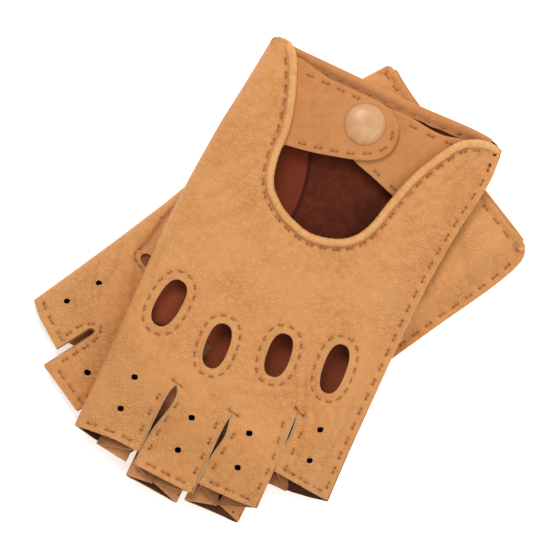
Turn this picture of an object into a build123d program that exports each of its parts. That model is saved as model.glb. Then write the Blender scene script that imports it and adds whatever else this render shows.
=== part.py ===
from build123d import *
import os
from math import atan2, cos, degrees, pi, radians, sin

# A pair of fingerless driving gloves laid one on the other. The right glove lies on its back
# with its palm up, and the left glove lies on it palm down. Each glove is drawn in its own plan:
# X from the index fold to the little finger's seam, Y from the finger ends to the wrist, and Z
# from the palm to the back. The left glove's plan is the pair's, and the right glove's is turned.

# Leather and loft, mm
leather = 0.9
lining = 0.4
hand_thickness = 11.8
tip_thickness = 7.0
taper_length = 30.0
pair_gap = 0.8

# Where the right glove lies, and how the left glove hangs past its edges
right_origin = (-38.6, 10.45)
right_turn = -25.0
hand_half_width = 54.0
hand_length = 172.0
droop_rate = 0.5
droop_reach = 12.0

# How the right glove's fingers lean and its wrist narrows beside the left glove's
finger_lean = 8.0
index_squeeze = 2.8
wrist_pull = 8.0
finger_zone = 70.0

# Outline of one glove, mm
fold_side = [(-51.3, -3), (-52, 40), (-53.6, 90), (-50, 150), (-48.2, 171)]
wrist_edge = [(-48.2, 171), (-46, 174.5), (-40, 173.5), (40, 174.8), (52, 174), (54.6, 170)]
little_side = [(54.6, 170), (54.8, 160), (52.2, 135), (50.7, 105), (51, 70), (53, 13.5)]
# Each finger's left and right sides, and where its back and its palm end
fingers = {
    "index": (-64.0, -23.2, 1.0, -4.0),
    "middle": (-23.2, 2.8, -4.3, -10.5),
    "ring": (2.8, 28.5, 0.6, -7.5),
    "little": (28.5, 60.0, 17.6, 13.5),
}
past_fingers = -20.0
past_wrist = 182.0
past_side = 70.0
seam_wall = 2.0

# Reach of the tools that cut the draped layers, and the grid of points that their faces pass
tool_floor = -10.0
tool_height = 60.0
cut_reach = 8.0
plan_reach = 400.0
grid_x = [-66 + 11 * i for i in range(13)]
grid_y = [-24 + 10.5 * i for i in range(21)]

# Slots between the fingers: left edge, crotch and right edge
back_slots = {
    "index_middle": [(-24, -20), (-23.7, 29), (-21.8, 32), (-19.9, 29), (-22.4, 0), (-22.4, -20)],
    "middle_ring": [(2.6, -20), (2, 28.5), (3.5, 31), (5, 28.5), (3.9, 0), (3.9, -20)],
    "ring_little": [(28.3, -20), (26.3, 41.8), (26.9, 43), (27.5, 41.8), (29, 0), (29, -20)],
}
palm_slots = [(-25.2, 15.0), (0.2, 14.0), (25.8, 27.0)]
palm_slot_width = 3.0

# Vent holes and the four knuckle holes: centre, half width, half height, lean
vent_radius = 1.2
back_vents = [(-38, 27.3), (-37.5, 13.5), (-10.4, 22.7), (-9.7, 8.6),
              (13, 27.3), (14.8, 12.8), (38, 41), (39.7, 28)]
palm_vents = [(-40, 28), (-41, 13.5), (-13.5, 16), (-12, 2), (9, 16), (11, 2), (36, 35), (38, 23)]
knuckle_holes = [(-38.5, 60, 5.2, 10.3, -4), (-13.8, 53, 4.9, 9.5, 5),
                 (9.9, 60.4, 4.9, 9.2, 6), (32.3, 65.3, 4.8, 10.4, 6)]

# Back window, open to the wrist, with its piping
window = [(-41, 180), (-36, 168.5), (-30.5, 157), (-27, 143), (-26.3, 131), (-23.2, 120.4),
          (-11, 111.5), (0, 108), (12, 111.5), (20.6, 121), (24, 135), (28, 150), (34.5, 163),
          (44, 171.5), (50, 180)]
piping_radius = 1.9

# Strap: its hinge line, overlap tab, underlap tab and snap
hinge_low = (-24.0, 137.0)
hinge_high = (-29.8, 169.0)
tab_end = [(3, 143.9), (12.6, 149.4), (14.9, 157), (12.2, 164.4), (5, 168.7)]
root_edge = [(-39, 168), (-33.5, 157), (-30, 143), (-29, 137)]
underlap_low = [(29, 136), (24, 137), (3, 143)]
underlap_end = [(3, 143), (-6, 148), (-9.6, 157), (-6, 165.4), (3, 168.2)]
underlap_high = [(3, 168.2), (42, 169), (38, 162), (32, 150), (29, 136)]
hinge_gap = 0.4
hinge_rise = 2.0
root_gap = 0.3
snap_centre = (0.5, 158.2)
cap_radius = 8.35
cap_height = 2.2
cap_rim = 0.8
socket_outer = 5.0
socket_bore = 2.6
stud_radius = 2.3
stud_waist = 1.9
shank_radius = 1.2
flange_radius = 4.4
flange_thickness = 0.3
snap_clear = 1.2
body_clear = 0.3
tab_clear = 0.2
lining_margin = 1.0
sliver = 0.03

# Thumb on the palm, with the pocket that its mouth opens into
thumb_mouth = [(-42.5, 49), (-16, 52)]
thumb_side = [(-16, 52), (-16.5, 70), (-22, 90), (-33, 99), (-45, 95), (-49, 80), (-42.5, 49)]
pocket_length = 8.0
stall_end = 78.0
stall_clear = 4.4

# Thread
stitch_length = 3.2
thread = 0.8
seam_pitch = 6.4
mouth_pitch = 5.8
knuckle_pitch = 4.2
seam_inset = 2.4
mouth_inset = 3.2
slot_start = 4.0
crotch_half = 2.0
crotch_past = 1.0
knuckle_stitches = 14
knuckle_margin = 3.2
window_margin = 1.6
palm_thread_proud = 0.25
hem_line = [(-44, 169.5), (0, 169.5), (48, 169.5)]
tab_stitch_lines = [[(-26, 166.3), (-8.5, 166.3)],
                    [(11.2, 161.5), (12.4, 157), (10.6, 151.5), (3, 146.6), (-20, 140.4)]]
underlap_stitch_lines = [[(16.5, 165.9), (38, 166.3)], [(7, 144.9), (25, 140)]]


def thickness(y):
    """Loft of a glove, which thins from the hand to the finger ends."""
    t = min(max(y / taper_length, 0), 1)
    return tip_thickness + (hand_thickness - tip_thickness) * t * t * (3 - 2 * t)


def droop(past):
    """How far leather sinks at a distance past the edge that holds it up."""
    return droop_rate * past * past / (past + droop_reach) if past > 0 else 0


def over_right(x, y):
    """A spot of the pair's plan in the right glove's own plan."""
    dx, dy = x - right_origin[0], y - right_origin[1]
    turn = radians(right_turn)
    return dx * cos(turn) + dy * sin(turn), dy * cos(turn) - dx * sin(turn)


class Glove:
    """What both gloves share."""

    def underlap_depth(self):
        """Depth of the underlap tab under the back, which leaves room for the snap."""
        return self.strap_depth + leather + lining + snap_clear


class LeftGlove(Glove):
    """The upper glove, draped over the right one with its back up."""

    side = "left"
    proud = 1.2
    strap_depth = 1.3
    thread_proud = 0.25

    def spot(self, x, y):
        return x, y

    def palm(self, x, y):
        u, v = over_right(x, y)
        fall = droop(u - hand_half_width) + droop(-hand_half_width - u) + droop(v - hand_length)
        return thickness(v) + pair_gap - fall

    def back(self, x, y):
        return self.palm(x, y) + thickness(y)

    def place(self, part):
        return part


class RightGlove(Glove):
    """The lower glove, drawn back up and then turned over onto its flat back."""

    side = "right"
    proud = 0.0
    strap_depth = 2.6
    thread_proud = -0.05

    def spot(self, x, y):
        low = min(max((finger_zone - y) / finger_zone, 0), 1.3)
        high = min(max((y - finger_zone) / (hand_length - finger_zone), 0), 1.1) ** 1.5
        lean = -finger_lean * low + index_squeeze * max(-40 - x, 0) / 11 * low
        pull = wrist_pull * max(20 - x, 0) / 68 * high
        return x + lean + pull, y

    def palm(self, x, y):
        return hand_thickness - thickness(y)

    def back(self, x, y):
        return hand_thickness

    def place(self, part):
        turned_over = mirror(part, about=Plane.XY.offset(hand_thickness / 2))
        return Pos(*right_origin, 0) * Rot(0, 0, right_turn) * turned_over


def height_face(height):
    """A face at a given height over the whole plan, plane where the height is the same all over."""
    rows = [[Vector(x, y, height(x, y)) for x in grid_x] for y in grid_y]
    levels = {point.Z for row in rows for point in row}
    if len(levels) == 1:
        return Face.make_rect(plan_reach, plan_reach, Plane.XY.offset(levels.pop()))
    return Face.make_surface_from_array_of_points(rows)


def between(region, low, high):
    """Solid over a plan region, from one height to another."""
    with BuildPart() as layer:
        with BuildSketch(Plane.XY.offset(tool_floor)):
            add(region)
        extrude(amount=tool_height)
        extrude(height_face(low), amount=tool_height, dir=(0, 0, -1), mode=Mode.SUBTRACT)
        extrude(height_face(high), amount=tool_height, dir=(0, 0, 1), mode=Mode.SUBTRACT)
    return layer.part


def under_back(glove, depth):
    """Height at a depth under the back face."""
    return lambda x, y: glove.back(x, y) - depth


def over_palm(glove, depth):
    """Height at a depth inside the palm face."""
    return lambda x, y: glove.palm(x, y) + depth


def middle(glove):
    """Height halfway between the palm and the back."""
    return lambda x, y: (glove.palm(x, y) + glove.back(x, y)) / 2


def polygon(glove, points):
    """Plan region with straight sides."""
    with BuildSketch() as region:
        with BuildLine():
            Polyline(*[glove.spot(x, y) for x, y in points], close=True)
        make_face()
    return region.sketch


def hand_region(glove):
    """Plan of the hand, with its stepped finger ends."""
    steps = [(x, end) for left, right, _, end in reversed(fingers.values()) for x in (right, left)]
    steps = [little_side[-1]] + steps[1:-1] + [fold_side[0]]
    with BuildSketch() as region:
        with BuildLine():
            Spline(*[glove.spot(x, y) for x, y in fold_side])
            Polyline(*[glove.spot(x, y) for x, y in wrist_edge])
            Spline(*[glove.spot(x, y) for x, y in little_side])
            Polyline(*[glove.spot(x, y) for x, y in steps])
        make_face()
    return region.sketch


def hollow_region(glove):
    """Plan of the space for the hand and fingers, open at both ends."""
    fold = [glove.spot(x + leather, y) for x, y in fold_side]
    little = [glove.spot(x - seam_wall, y) for x, y in little_side]
    with BuildSketch() as region:
        with BuildLine():
            Spline(*fold)
            Polyline(fold[-1], (fold[-1][0], past_wrist), (little[0][0], past_wrist), little[0])
            Spline(*little)
            Polyline(little[-1], (little[-1][0], past_fingers), (fold[0][0], past_fingers), fold[0])
        make_face()
    return region.sketch


def slot_region(glove, points, grow=0.0):
    """A finger slot on the back, with a round crotch, grown sideways and past its crotch."""
    sides = [(-grow, 0), (-grow, 0), (0, grow), (grow, 0), (grow, 0), (grow, 0)]
    grown = [glove.spot(x + dx, y + dy) for (x, y), (dx, dy) in zip(points, sides)]
    low_left, left, crotch, right, bend, low_right = grown
    with BuildSketch() as region:
        with BuildLine():
            Line(low_left, left)
            ThreePointArc(left, crotch, right)
            Polyline(right, bend, low_right, low_left)
        make_face()
    return region.sketch


def palm_slot_region(glove, x, crotch):
    """A finger slot in the palm, with chamfered corners at its crotch."""
    half = palm_slot_width / 2
    return polygon(glove, [(x - half, past_fingers), (x - half, crotch - half),
                           (x - half / 2, crotch), (x + half / 2, crotch),
                           (x + half, crotch - half), (x + half, past_fingers)])


def window_line(glove, shift):
    """The window's edge, moved outwards by shift."""
    points = []
    for i, (x, y) in enumerate(window):
        ahead = window[min(i + 1, len(window) - 1)]
        behind = window[max(i - 1, 0)]
        heading = atan2(ahead[1] - behind[1], ahead[0] - behind[0])
        points.append(glove.spot(x + shift * sin(heading), y - shift * cos(heading)))
    return points


def window_region(glove, shift):
    """Plan of the window, made larger by shift."""
    points = window_line(glove, shift)
    with BuildSketch() as region:
        with BuildLine():
            Spline(*points)
            Line(points[-1], points[0])
        make_face()
    return region.sketch


def thumb_region(glove):
    """Plan of the thumb on the palm."""
    with BuildSketch() as region:
        with BuildLine():
            Line(*[glove.spot(x, y) for x, y in thumb_mouth])
            Spline(*[glove.spot(x, y) for x, y in thumb_side])
        make_face()
    return region.sketch


def pocket_region(glove):
    """Plan of the open pocket in front of the thumb's mouth."""
    (x0, y0), (x1, y1) = thumb_mouth
    return polygon(glove, [(x0, y0 - pocket_length), (x1, y1 - pocket_length), (x1, y1), (x0, y0)])


def band(glove, low, high):
    """Plan band right across the hand, for trimming."""
    return polygon(glove, [(-past_side, low), (past_side, low), (past_side, high), (-past_side, high)])


def overlap_region(glove):
    """Plan of the strap's overlap tab, from its hinge line to its round end."""
    low, high = glove.spot(*hinge_low), glove.spot(*hinge_high)
    end = [glove.spot(x, y) for x, y in tab_end]
    with BuildSketch() as region:
        with BuildLine():
            Polyline(end[-1], (high[0] + hinge_gap, high[1]), (low[0] + hinge_gap, low[1]), end[0])
            Spline(*end)
        make_face()
    return region.sketch


def root_region(glove):
    """Plan of the strap's root, sewn under the piping."""
    low, high = glove.spot(*hinge_low), glove.spot(*hinge_high)
    left = [glove.spot(x, y) for x, y in root_edge]
    right = [(low[0] - root_gap, low[1]), (high[0] - root_gap, high[1])]
    with BuildSketch() as region:
        with BuildLine():
            Polyline(*left, *right, close=True)
        make_face()
    return region.sketch


def underlap_region(glove):
    """Plan of the underlap tab, from under the far piping to its round end."""
    with BuildSketch() as region:
        with BuildLine():
            Polyline(*[glove.spot(x, y) for x, y in underlap_low])
            Spline(*[glove.spot(x, y) for x, y in underlap_end])
            Polyline(*[glove.spot(x, y) for x, y in underlap_high])
        make_face()
    return region.sketch


def shrink(region, margin):
    """The same outline made smaller all round its middle."""
    box = region.bounding_box()
    factor = 1 - 2 * margin / min(box.size.X, box.size.Y)
    return Pos(*(box.center() * (1 - factor))) * scale(region, by=factor, mode=Mode.PRIVATE)


def knuckle_region(glove):
    """Plan of the four oval knuckle holes."""
    with BuildSketch() as region:
        for x, y, half_width, half_height, lean in knuckle_holes:
            with Locations(Location((*glove.spot(x, y), 0), (0, 0, lean))):
                Ellipse(half_width, half_height)
    return region.sketch


def vent_region(glove, vents):
    """Plan of a layer's vent holes."""
    with BuildSketch() as region:
        with Locations(*[glove.spot(x, y) for x, y in vents]):
            Circle(vent_radius)
    return region.sketch


def mouth_region(glove):
    """Plan of what is open past the back layer at each finger's mouth."""
    with BuildSketch() as region:
        for left, right, end, _ in fingers.values():
            add(polygon(glove, [(left, past_fingers), (right, past_fingers), (right, end), (left, end)]))
    return region.sketch


def make_trank(glove):
    """Palm and back in one piece of leather, folded at the index side and sewn at the other."""
    whole = between(hand_region(glove), glove.palm, glove.back)
    inside = between(hollow_region(glove), over_palm(glove, leather), under_back(glove, leather))
    with BuildSketch() as back_cuts:
        for slot in back_slots.values():
            add(slot_region(glove, slot))
        add(mouth_region(glove))
        add(knuckle_region(glove))
        add(vent_region(glove, back_vents))
        add(window_region(glove, piping_radius))
    with BuildSketch() as palm_cuts:
        for x, crotch in palm_slots:
            add(palm_slot_region(glove, x, crotch))
        add(vent_region(glove, palm_vents))
        add(thumb_region(glove))
        add(pocket_region(glove))
    open_back = between(back_cuts.sketch, middle(glove), under_back(glove, -cut_reach))
    open_palm = between(palm_cuts.sketch, over_palm(glove, -cut_reach), middle(glove))
    with BuildPart() as trank:
        add(whole)
        add(inside, mode=Mode.SUBTRACT)
        add(open_back, mode=Mode.SUBTRACT)
        add(open_palm, mode=Mode.SUBTRACT)
    return trank.part


def make_thumb(glove):
    """Thumb stall: an outer leaf on the palm, side walls, and an inner leaf under its mouth."""
    with BuildSketch() as whole:
        add(thumb_region(glove))
        add(pocket_region(glove))
    with BuildSketch() as walls:
        add(whole.sketch)
        add(shrink(whole.sketch, leather), mode=Mode.SUBTRACT)
        add(band(glove, stall_end, past_wrist), mode=Mode.SUBTRACT)
    with BuildSketch() as floor:
        add(whole.sketch)
        add(band(glove, stall_end, past_wrist), mode=Mode.SUBTRACT)
    stall_top = leather + stall_clear
    palm_face, palm_inside = over_palm(glove, 0), over_palm(glove, leather)
    leaf_low, leaf_high = over_palm(glove, stall_top), over_palm(glove, stall_top + leather)
    outer_leaf = between(thumb_region(glove), palm_face, palm_inside)
    side_walls = between(walls.sketch, palm_face, leaf_low)
    inner_leaf = between(floor.sketch, leaf_low, leaf_high)
    with BuildPart() as thumb:
        add(outer_leaf)
        add(side_walls)
        add(inner_leaf)
    return thumb.part


def make_fourchette(glove, slot):
    """The strip that lines the facing sides of two fingers, forked round their crotch."""
    with BuildSketch() as walls:
        add(slot_region(glove, slot, leather))
        add(slot_region(glove, slot), mode=Mode.SUBTRACT)
        add(mouth_region(glove), mode=Mode.SUBTRACT)
    edge = leather + sliver
    strip = between(walls.sketch, over_palm(glove, edge), under_back(glove, edge))
    with BuildPart() as fourchette:
        add(strip)
    return fourchette.part


def make_piping(glove):
    """Rolled piping round the back window."""
    with BuildSketch() as roll:
        add(window_region(glove, piping_radius))
        add(window_region(glove, -piping_radius), mode=Mode.SUBTRACT)
        add(hand_region(glove), mode=Mode.INTERSECT)
    depth = glove.strap_depth - tab_clear
    tube = between(roll.sketch, under_back(glove, depth), under_back(glove, -glove.proud))
    with BuildPart() as piping:
        add(tube)
    return piping.part


def make_sheet(glove, region, outer, inner, hole=0.0):
    """A flat leather piece at a depth under the back, with a hole for the snap's shank."""
    with BuildSketch() as outline:
        add(region)
        if hole:
            with Locations(glove.spot(*snap_centre)):
                Circle(hole, mode=Mode.SUBTRACT)
    cut = between(outline.sketch, under_back(glove, inner), under_back(glove, outer))
    with BuildPart() as sheet:
        add(cut)
    return sheet.part


def snap_plane(glove, depth):
    """Plane across the snap's axis, at a depth under the back."""
    x, y = glove.spot(*snap_centre)
    return Plane.XY.offset(glove.back(x, y) - depth).move(Pos(x, y, 0))


def make_cap(glove):
    """Domed snap cap with its shank through the strap."""
    top = glove.strap_depth
    with BuildPart() as cap:
        with BuildSketch(snap_plane(glove, top)):
            Circle(cap_radius)
        extrude(amount=cap_height)
        rim = cap.faces().sort_by(Axis.Z)[-1].edges()
        fillet(rim, radius=cap_height - cap_rim)
        with BuildSketch(snap_plane(glove, top)):
            Circle(shank_radius)
        extrude(amount=-(leather + lining))
    return cap.part


def make_socket(glove):
    """Snap socket under the strap."""
    with BuildPart() as socket:
        with BuildSketch(snap_plane(glove, glove.strap_depth + leather + lining)):
            Circle(socket_outer)
            Circle(socket_bore, mode=Mode.SUBTRACT)
        extrude(amount=-(snap_clear - body_clear))
    return socket.part


def make_stud(glove):
    """Snap stud on the underlap tab, with a waist that the socket's spring grips."""
    height = snap_clear - body_clear
    with BuildPart() as stud:
        with BuildSketch(snap_plane(glove, glove.underlap_depth())):
            Circle(stud_radius)
        extrude(amount=height)
        with BuildSketch(snap_plane(glove, glove.underlap_depth() - height / 3)):
            Circle(stud_radius)
            Circle(stud_waist, mode=Mode.SUBTRACT)
        extrude(amount=height / 3, mode=Mode.SUBTRACT)
    return stud.part


def make_post(glove):
    """Post that rivets the stud through the underlap tab, with its flange inside."""
    under = glove.underlap_depth() + leather + lining
    with BuildPart() as post:
        with BuildSketch(snap_plane(glove, under)):
            Circle(flange_radius)
        extrude(amount=-flange_thickness)
        with BuildSketch(snap_plane(glove, under)):
            Circle(shank_radius)
        extrude(amount=leather + lining)
    return post.part


def row(glove, points, height, pitch, closed=False):
    """Places of a row of stitches along a smooth line on a face of the glove."""
    line = Spline(*[glove.spot(x, y) for x, y in points], periodic=closed)
    count = max(int(line.length / pitch), 1)
    places = []
    for i in range(count):
        along = (i + 0.5) / count
        spot, heading = line.position_at(along), line.tangent_at(along)
        z = height(spot.X, spot.Y)
        places.append(Location((spot.X, spot.Y, z), (0, 0, degrees(atan2(heading.Y, heading.X)))))
    return places


def make_thread(places):
    """A group of stitches."""
    with BuildPart() as stitches:
        with Locations(*places):
            Box(stitch_length, thread, thread)
    return stitches.part


def back_thread(glove):
    """Height of the stitches on the back."""
    return lambda x, y: glove.back(x, y) + glove.thread_proud - thread / 2


def palm_thread(glove):
    """Height of the stitches on the palm."""
    return lambda x, y: glove.palm(x, y) - palm_thread_proud + thread / 2


def side_seam_rows(glove):
    """Stitches of the seam at the little finger's side, on the back and on the palm."""
    line = [(x - seam_inset, y) for x, y in little_side]
    line[0] = (line[0][0], line[0][1] - seam_inset)
    back_line = line[:-1] + [(line[-1][0], fingers["little"][2] + seam_inset)]
    palm_line = line[:-1] + [(line[-1][0], fingers["little"][3] + seam_inset)]
    return (row(glove, back_line, back_thread(glove), seam_pitch)
            + row(glove, palm_line, palm_thread(glove), seam_pitch))


def finger_rows(glove):
    """Stitches along the mouths and beside the slots, on the back."""
    places = []
    for name, (left, right, end, _) in fingers.items():
        start = fold_side[0][0] if name == "index" else left
        stop = little_side[-1][0] if name == "little" else right
        mouth = [(start + mouth_inset, end + seam_inset), (stop - mouth_inset, end + seam_inset)]
        places += row(glove, mouth, back_thread(glove), mouth_pitch)
    ends = [end for _, _, end, _ in fingers.values()]
    for slot, near_end, far_end in zip(back_slots.values(), ends, ends[1:]):
        low_left, left, crotch, right, bend, _ = slot
        near_side = [(low_left[0] - seam_inset, near_end + slot_start), (left[0] - seam_inset, left[1])]
        far_side = [(right[0] + seam_inset, right[1]), (bend[0] + seam_inset, far_end + slot_start)]
        places += row(glove, near_side, back_thread(glove), seam_pitch)
        places += row(glove, far_side, back_thread(glove), seam_pitch)
        x, y = crotch[0], crotch[1] + crotch_past
        over = [(x - crotch_half, y), (x + crotch_half, y)]
        places += row(glove, over, back_thread(glove), seam_pitch)
    return places


def knuckle_rows(glove):
    """A ring of stitches round each knuckle hole."""
    places = []
    for x, y, half_width, half_height, lean in knuckle_holes:
        wide, tall = half_width + knuckle_margin, half_height + knuckle_margin
        ring = []
        for i in range(knuckle_stitches):
            a = 2 * pi * i / knuckle_stitches
            dx, dy = wide * cos(a), tall * sin(a)
            t = radians(lean)
            ring.append((x + dx * cos(t) - dy * sin(t), y + dx * sin(t) + dy * cos(t)))
        places += row(glove, ring, back_thread(glove), knuckle_pitch, closed=True)
    return places


def window_rows(glove):
    """Stitches outside the window's piping."""
    line = window_line(LeftGlove(), piping_radius + window_margin)[1:-1]
    return row(glove, line, back_thread(glove), seam_pitch)


def hem_rows(glove):
    """Stitches of the palm's hem at the wrist."""
    return row(glove, hem_line, palm_thread(glove), seam_pitch)


def tab_thread(glove, depth):
    """Height of the stitches on a tab at a depth under the back."""
    return lambda x, y: glove.back(x, y) - depth + glove.thread_proud - thread / 2


def tab_rows(glove, lines, depth):
    """Stitches along the edges of a tab at a depth under the back."""
    places = []
    for line in lines:
        places += row(glove, line, tab_thread(glove, depth), seam_pitch)
    return places


def make_glove(glove):
    """All the pieces of one glove, by name."""
    strap, under = glove.strap_depth, glove.underlap_depth()
    overlap, underlap = overlap_region(glove), underlap_region(glove)
    pieces = {"trank": make_trank(glove), "thumb": make_thumb(glove)}
    for name, slot in back_slots.items():
        pieces["fourchette_" + name] = make_fourchette(glove, slot)
    pieces["window_piping"] = make_piping(glove)
    pieces["strap_root"] = make_sheet(glove, root_region(glove), strap, strap + leather)
    pieces["overlap_tab"] = make_sheet(glove, overlap, strap, strap + leather, shank_radius)
    pieces["overlap_lining"] = make_sheet(glove, shrink(overlap, lining_margin), strap + leather,
                                          strap + leather + lining, shank_radius)
    pieces["underlap_tab"] = make_sheet(glove, underlap, under, under + leather, shank_radius)
    pieces["underlap_lining"] = make_sheet(glove, shrink(underlap, lining_margin), under + leather,
                                           under + leather + lining, shank_radius)
    pieces["snap_cap"] = make_cap(glove)
    pieces["snap_socket"] = make_socket(glove)
    pieces["snap_stud"] = make_stud(glove)
    pieces["snap_post"] = make_post(glove)
    pieces["side_seam_thread"] = make_thread(side_seam_rows(glove))
    pieces["finger_thread"] = make_thread(finger_rows(glove))
    pieces["knuckle_thread"] = make_thread(knuckle_rows(glove))
    pieces["window_thread"] = make_thread(window_rows(glove))
    pieces["wrist_hem_thread"] = make_thread(hem_rows(glove))
    pieces["strap_thread"] = make_thread(tab_rows(glove, tab_stitch_lines, strap))
    pieces["underlap_thread"] = make_thread(tab_rows(glove, underlap_stitch_lines, under))
    return {glove.side + "_" + name: glove.place(part) for name, part in pieces.items()}


nodes = {**make_glove(LeftGlove()), **make_glove(RightGlove())}
box = Compound(children=[Part(part.wrapped) for part in nodes.values()]).bounding_box()
to_origin = Pos(-box.center().X, -box.center().Y, -box.min.Z)

os.makedirs("parts", exist_ok=True)
for name, part in nodes.items():
    piece = to_origin * part
    piece.label = name
    export_step(piece, "parts/" + name + ".step")
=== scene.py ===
from math import cos, pi, radians, sin

import bpy
import numpy as np
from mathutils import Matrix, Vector, noise
from mathutils.geometry import delaunay_2d_cdt


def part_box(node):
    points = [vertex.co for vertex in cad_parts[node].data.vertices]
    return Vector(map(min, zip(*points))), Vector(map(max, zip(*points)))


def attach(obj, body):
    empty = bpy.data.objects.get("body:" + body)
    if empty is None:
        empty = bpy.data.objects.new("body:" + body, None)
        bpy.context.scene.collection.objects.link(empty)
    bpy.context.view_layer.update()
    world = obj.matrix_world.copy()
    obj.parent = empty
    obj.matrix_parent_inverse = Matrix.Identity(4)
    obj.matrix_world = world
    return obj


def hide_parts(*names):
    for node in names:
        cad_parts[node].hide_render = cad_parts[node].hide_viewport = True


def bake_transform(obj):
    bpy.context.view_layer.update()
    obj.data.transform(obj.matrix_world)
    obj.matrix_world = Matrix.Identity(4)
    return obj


# A pair of fingerless leather driving gloves. Each glove is drawn in its own plan, in mm: X from
# the index fold to the little finger's seam, Y from the finger ends to the wrist, Z from the palm
# to the back. Its place() then puts it in the row frame, in metres, where the CAD part has it.

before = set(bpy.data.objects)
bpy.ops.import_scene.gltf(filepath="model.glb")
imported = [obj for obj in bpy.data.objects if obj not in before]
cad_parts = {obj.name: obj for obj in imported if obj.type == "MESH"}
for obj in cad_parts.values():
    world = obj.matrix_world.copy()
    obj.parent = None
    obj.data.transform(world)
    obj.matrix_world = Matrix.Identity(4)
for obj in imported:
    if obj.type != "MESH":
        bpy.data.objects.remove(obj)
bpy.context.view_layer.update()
MM = 0.001

# Leather and loft, as in the CAD part
leather = 0.9
hand_thickness = 11.8
tip_thickness = 7.0
taper_length = 30.0
pair_gap = 0.8
right_origin = (-38.6, 10.45)
right_turn = radians(-25.0)
hand_half_width = 54.0
hand_length = 172.0
droop_rate = 0.5
droop_reach = 12.0
finger_lean = 8.0
index_squeeze = 2.8
wrist_pull = 8.0
finger_zone = 70.0

# Outline of one glove
fold_side = [(-52, 40), (-53.6, 90), (-52, 130), (-50, 150), (-48.2, 170)]
index_corners = {"left": (-51.3, -0.6), "right": (-51.0, 3.5)}
little_corner = (53, 16.5)
wrist_edges = {
    "left": [(-48.2, 170), (-47.6, 173.6), (-45.6, 174.9), (-42, 174.3), (-38, 173.3), (-14, 173.5),
             (15, 173.8), (40, 175), (51, 174.2), (54, 172), (54.6, 170)],
    "right": [(-48.2, 170), (-47.9, 172), (-46.7, 173.3), (-44.2, 173.7), (-38, 172.9), (-27.5, 172),
              (0, 171.2), (26, 170.9), (40, 170.7), (49, 170.4), (52.2, 169), (53.8, 167.2), (54.8, 165)],
}
little_sides = {
    "left": [(54.6, 170), (55.1, 158), (52.4, 135), (51, 115), (50.7, 95), (51.1, 70), (51.8, 40),
             little_corner],
    "right": [(54.8, 165), (55.5, 158), (55.4, 148), (54.8, 138), (53.8, 124), (52.9, 108), (52, 90),
              (51, 70), (51.6, 40), little_corner],
}

# Front edge of each finger: index, middle, ring and little
back_ends = [[(-42, 0.8), (-34, 1.5), (-23.2, 1.1)], [(-23.2, -4.0), (2.8, -4.5)],
             [(2.8, 0.3), (20, 0.7), (28.5, 1.4)], [(28.5, 18.1), (40, 17.4), little_corner]]
palm_ends = [[(-42, -2.0), (-34, -3.4), (-25.2, -5.0)], [(-25.2, -9.7), (-13, -10.2), (0.2, -10.9)],
             [(0.2, -8.4), (12, -7.6), (25.8, -7.0)], [(25.8, 12.4), (36, 13.2), (45, 14.6), little_corner]]
right_index_rise = 3.2
finger_spans = [(-51.3, -23.9), (-22.4, 2.4), (3.7, 28.2), (29.0, 53.0)]
past_fingers = -20.0
back_slots = {
    "index_middle": [(-24, -20), (-23.9, 8), (-24, 18), (-23.6, 28), (-21.8, 31.8), (-19.6, 30),
                     (-18.9, 26), (-19.9, 20), (-22, 10), (-22.5, 0), (-22.5, -20)],
    "middle_ring": [(2.6, -20), (2.3, 8), (2.1, 26), (3.6, 31), (4.6, 27), (5.4, 22), (4.3, 15),
                    (3.6, 8), (3.7, 0), (3.7, -20)],
    "ring_little": [(28.4, -20), (28.1, 14), (27.3, 25), (26.2, 41), (27.0, 43), (27.9, 40),
                    (28.6, 34), (28.4, 26), (28.9, 14), (29.1, 0), (29.1, -20)],
}
palm_slots = {
    "index_middle": (-25.2, 15.0),
    "middle_ring": (0.2, 14.0),
    "ring_little": (25.8, 27.0),
}
palm_slot_half = 1.6
fourchette_tips = {
    "index_middle": [(-40.0, -3.3), (-13.4, -7.9)],
    "middle_ring": [(-12.4, -7.3), (13.4, -4.6)],
    "ring_little": [(14.8, -3.8), (35.5, 12.8)],
}
vent_radius = 1.5
back_vents = [(-38, 27.3), (-37.5, 13.5), (-10.4, 22.7), (-9.7, 8.6),
              (13, 27.3), (14.8, 12.8), (38, 41), (39.7, 28)]
palm_vents = [(-40, 28), (-41, 13.5), (-13.5, 16), (-12, 2), (9, 16), (11, 2), (36, 35), (38, 23)]
knuckle_holes = [(-38.5, 60, 5.2, 10.3, -4), (-13.8, 53, 4.9, 9.5, 5),
                 (9.9, 60.4, 4.9, 9.2, 6), (32.3, 65.3, 4.8, 10.4, 6)]
window_curve = [(-34.3, 164.2), (-31.3, 157), (-28.6, 149), (-27, 141), (-26.4, 131), (-23.6, 121),
                (-18.5, 115.2), (-11, 110.8), (0, 108.2), (11, 110.8), (18, 116.2), (21.8, 124),
                (24, 134), (27.6, 147), (32.6, 158)]
windows = {
    "left": [(-42.6, 174.6), (-40.2, 172.9), (-37.2, 169.6), *window_curve, (37.6, 166.3), (42.5, 170.2),
             (48, 172.1), (54.6, 171.9)],
    "right": [(-42, 172.6), (-39.8, 171.4), (-37, 168.6), *window_curve, (37.4, 164.8), (42, 167.6),
              (47, 168.7), (52, 168.2)],
}
piping_radius = 1.7
thumb_line = [(-42.5, 49), (-16, 52), (-15.5, 62), (-16.5, 72), (-20, 86), (-26, 95), (-33, 99),
              (-41, 98.5), (-46.5, 92), (-49.5, 81), (-49.8, 71), (-46.5, 60)]

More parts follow.
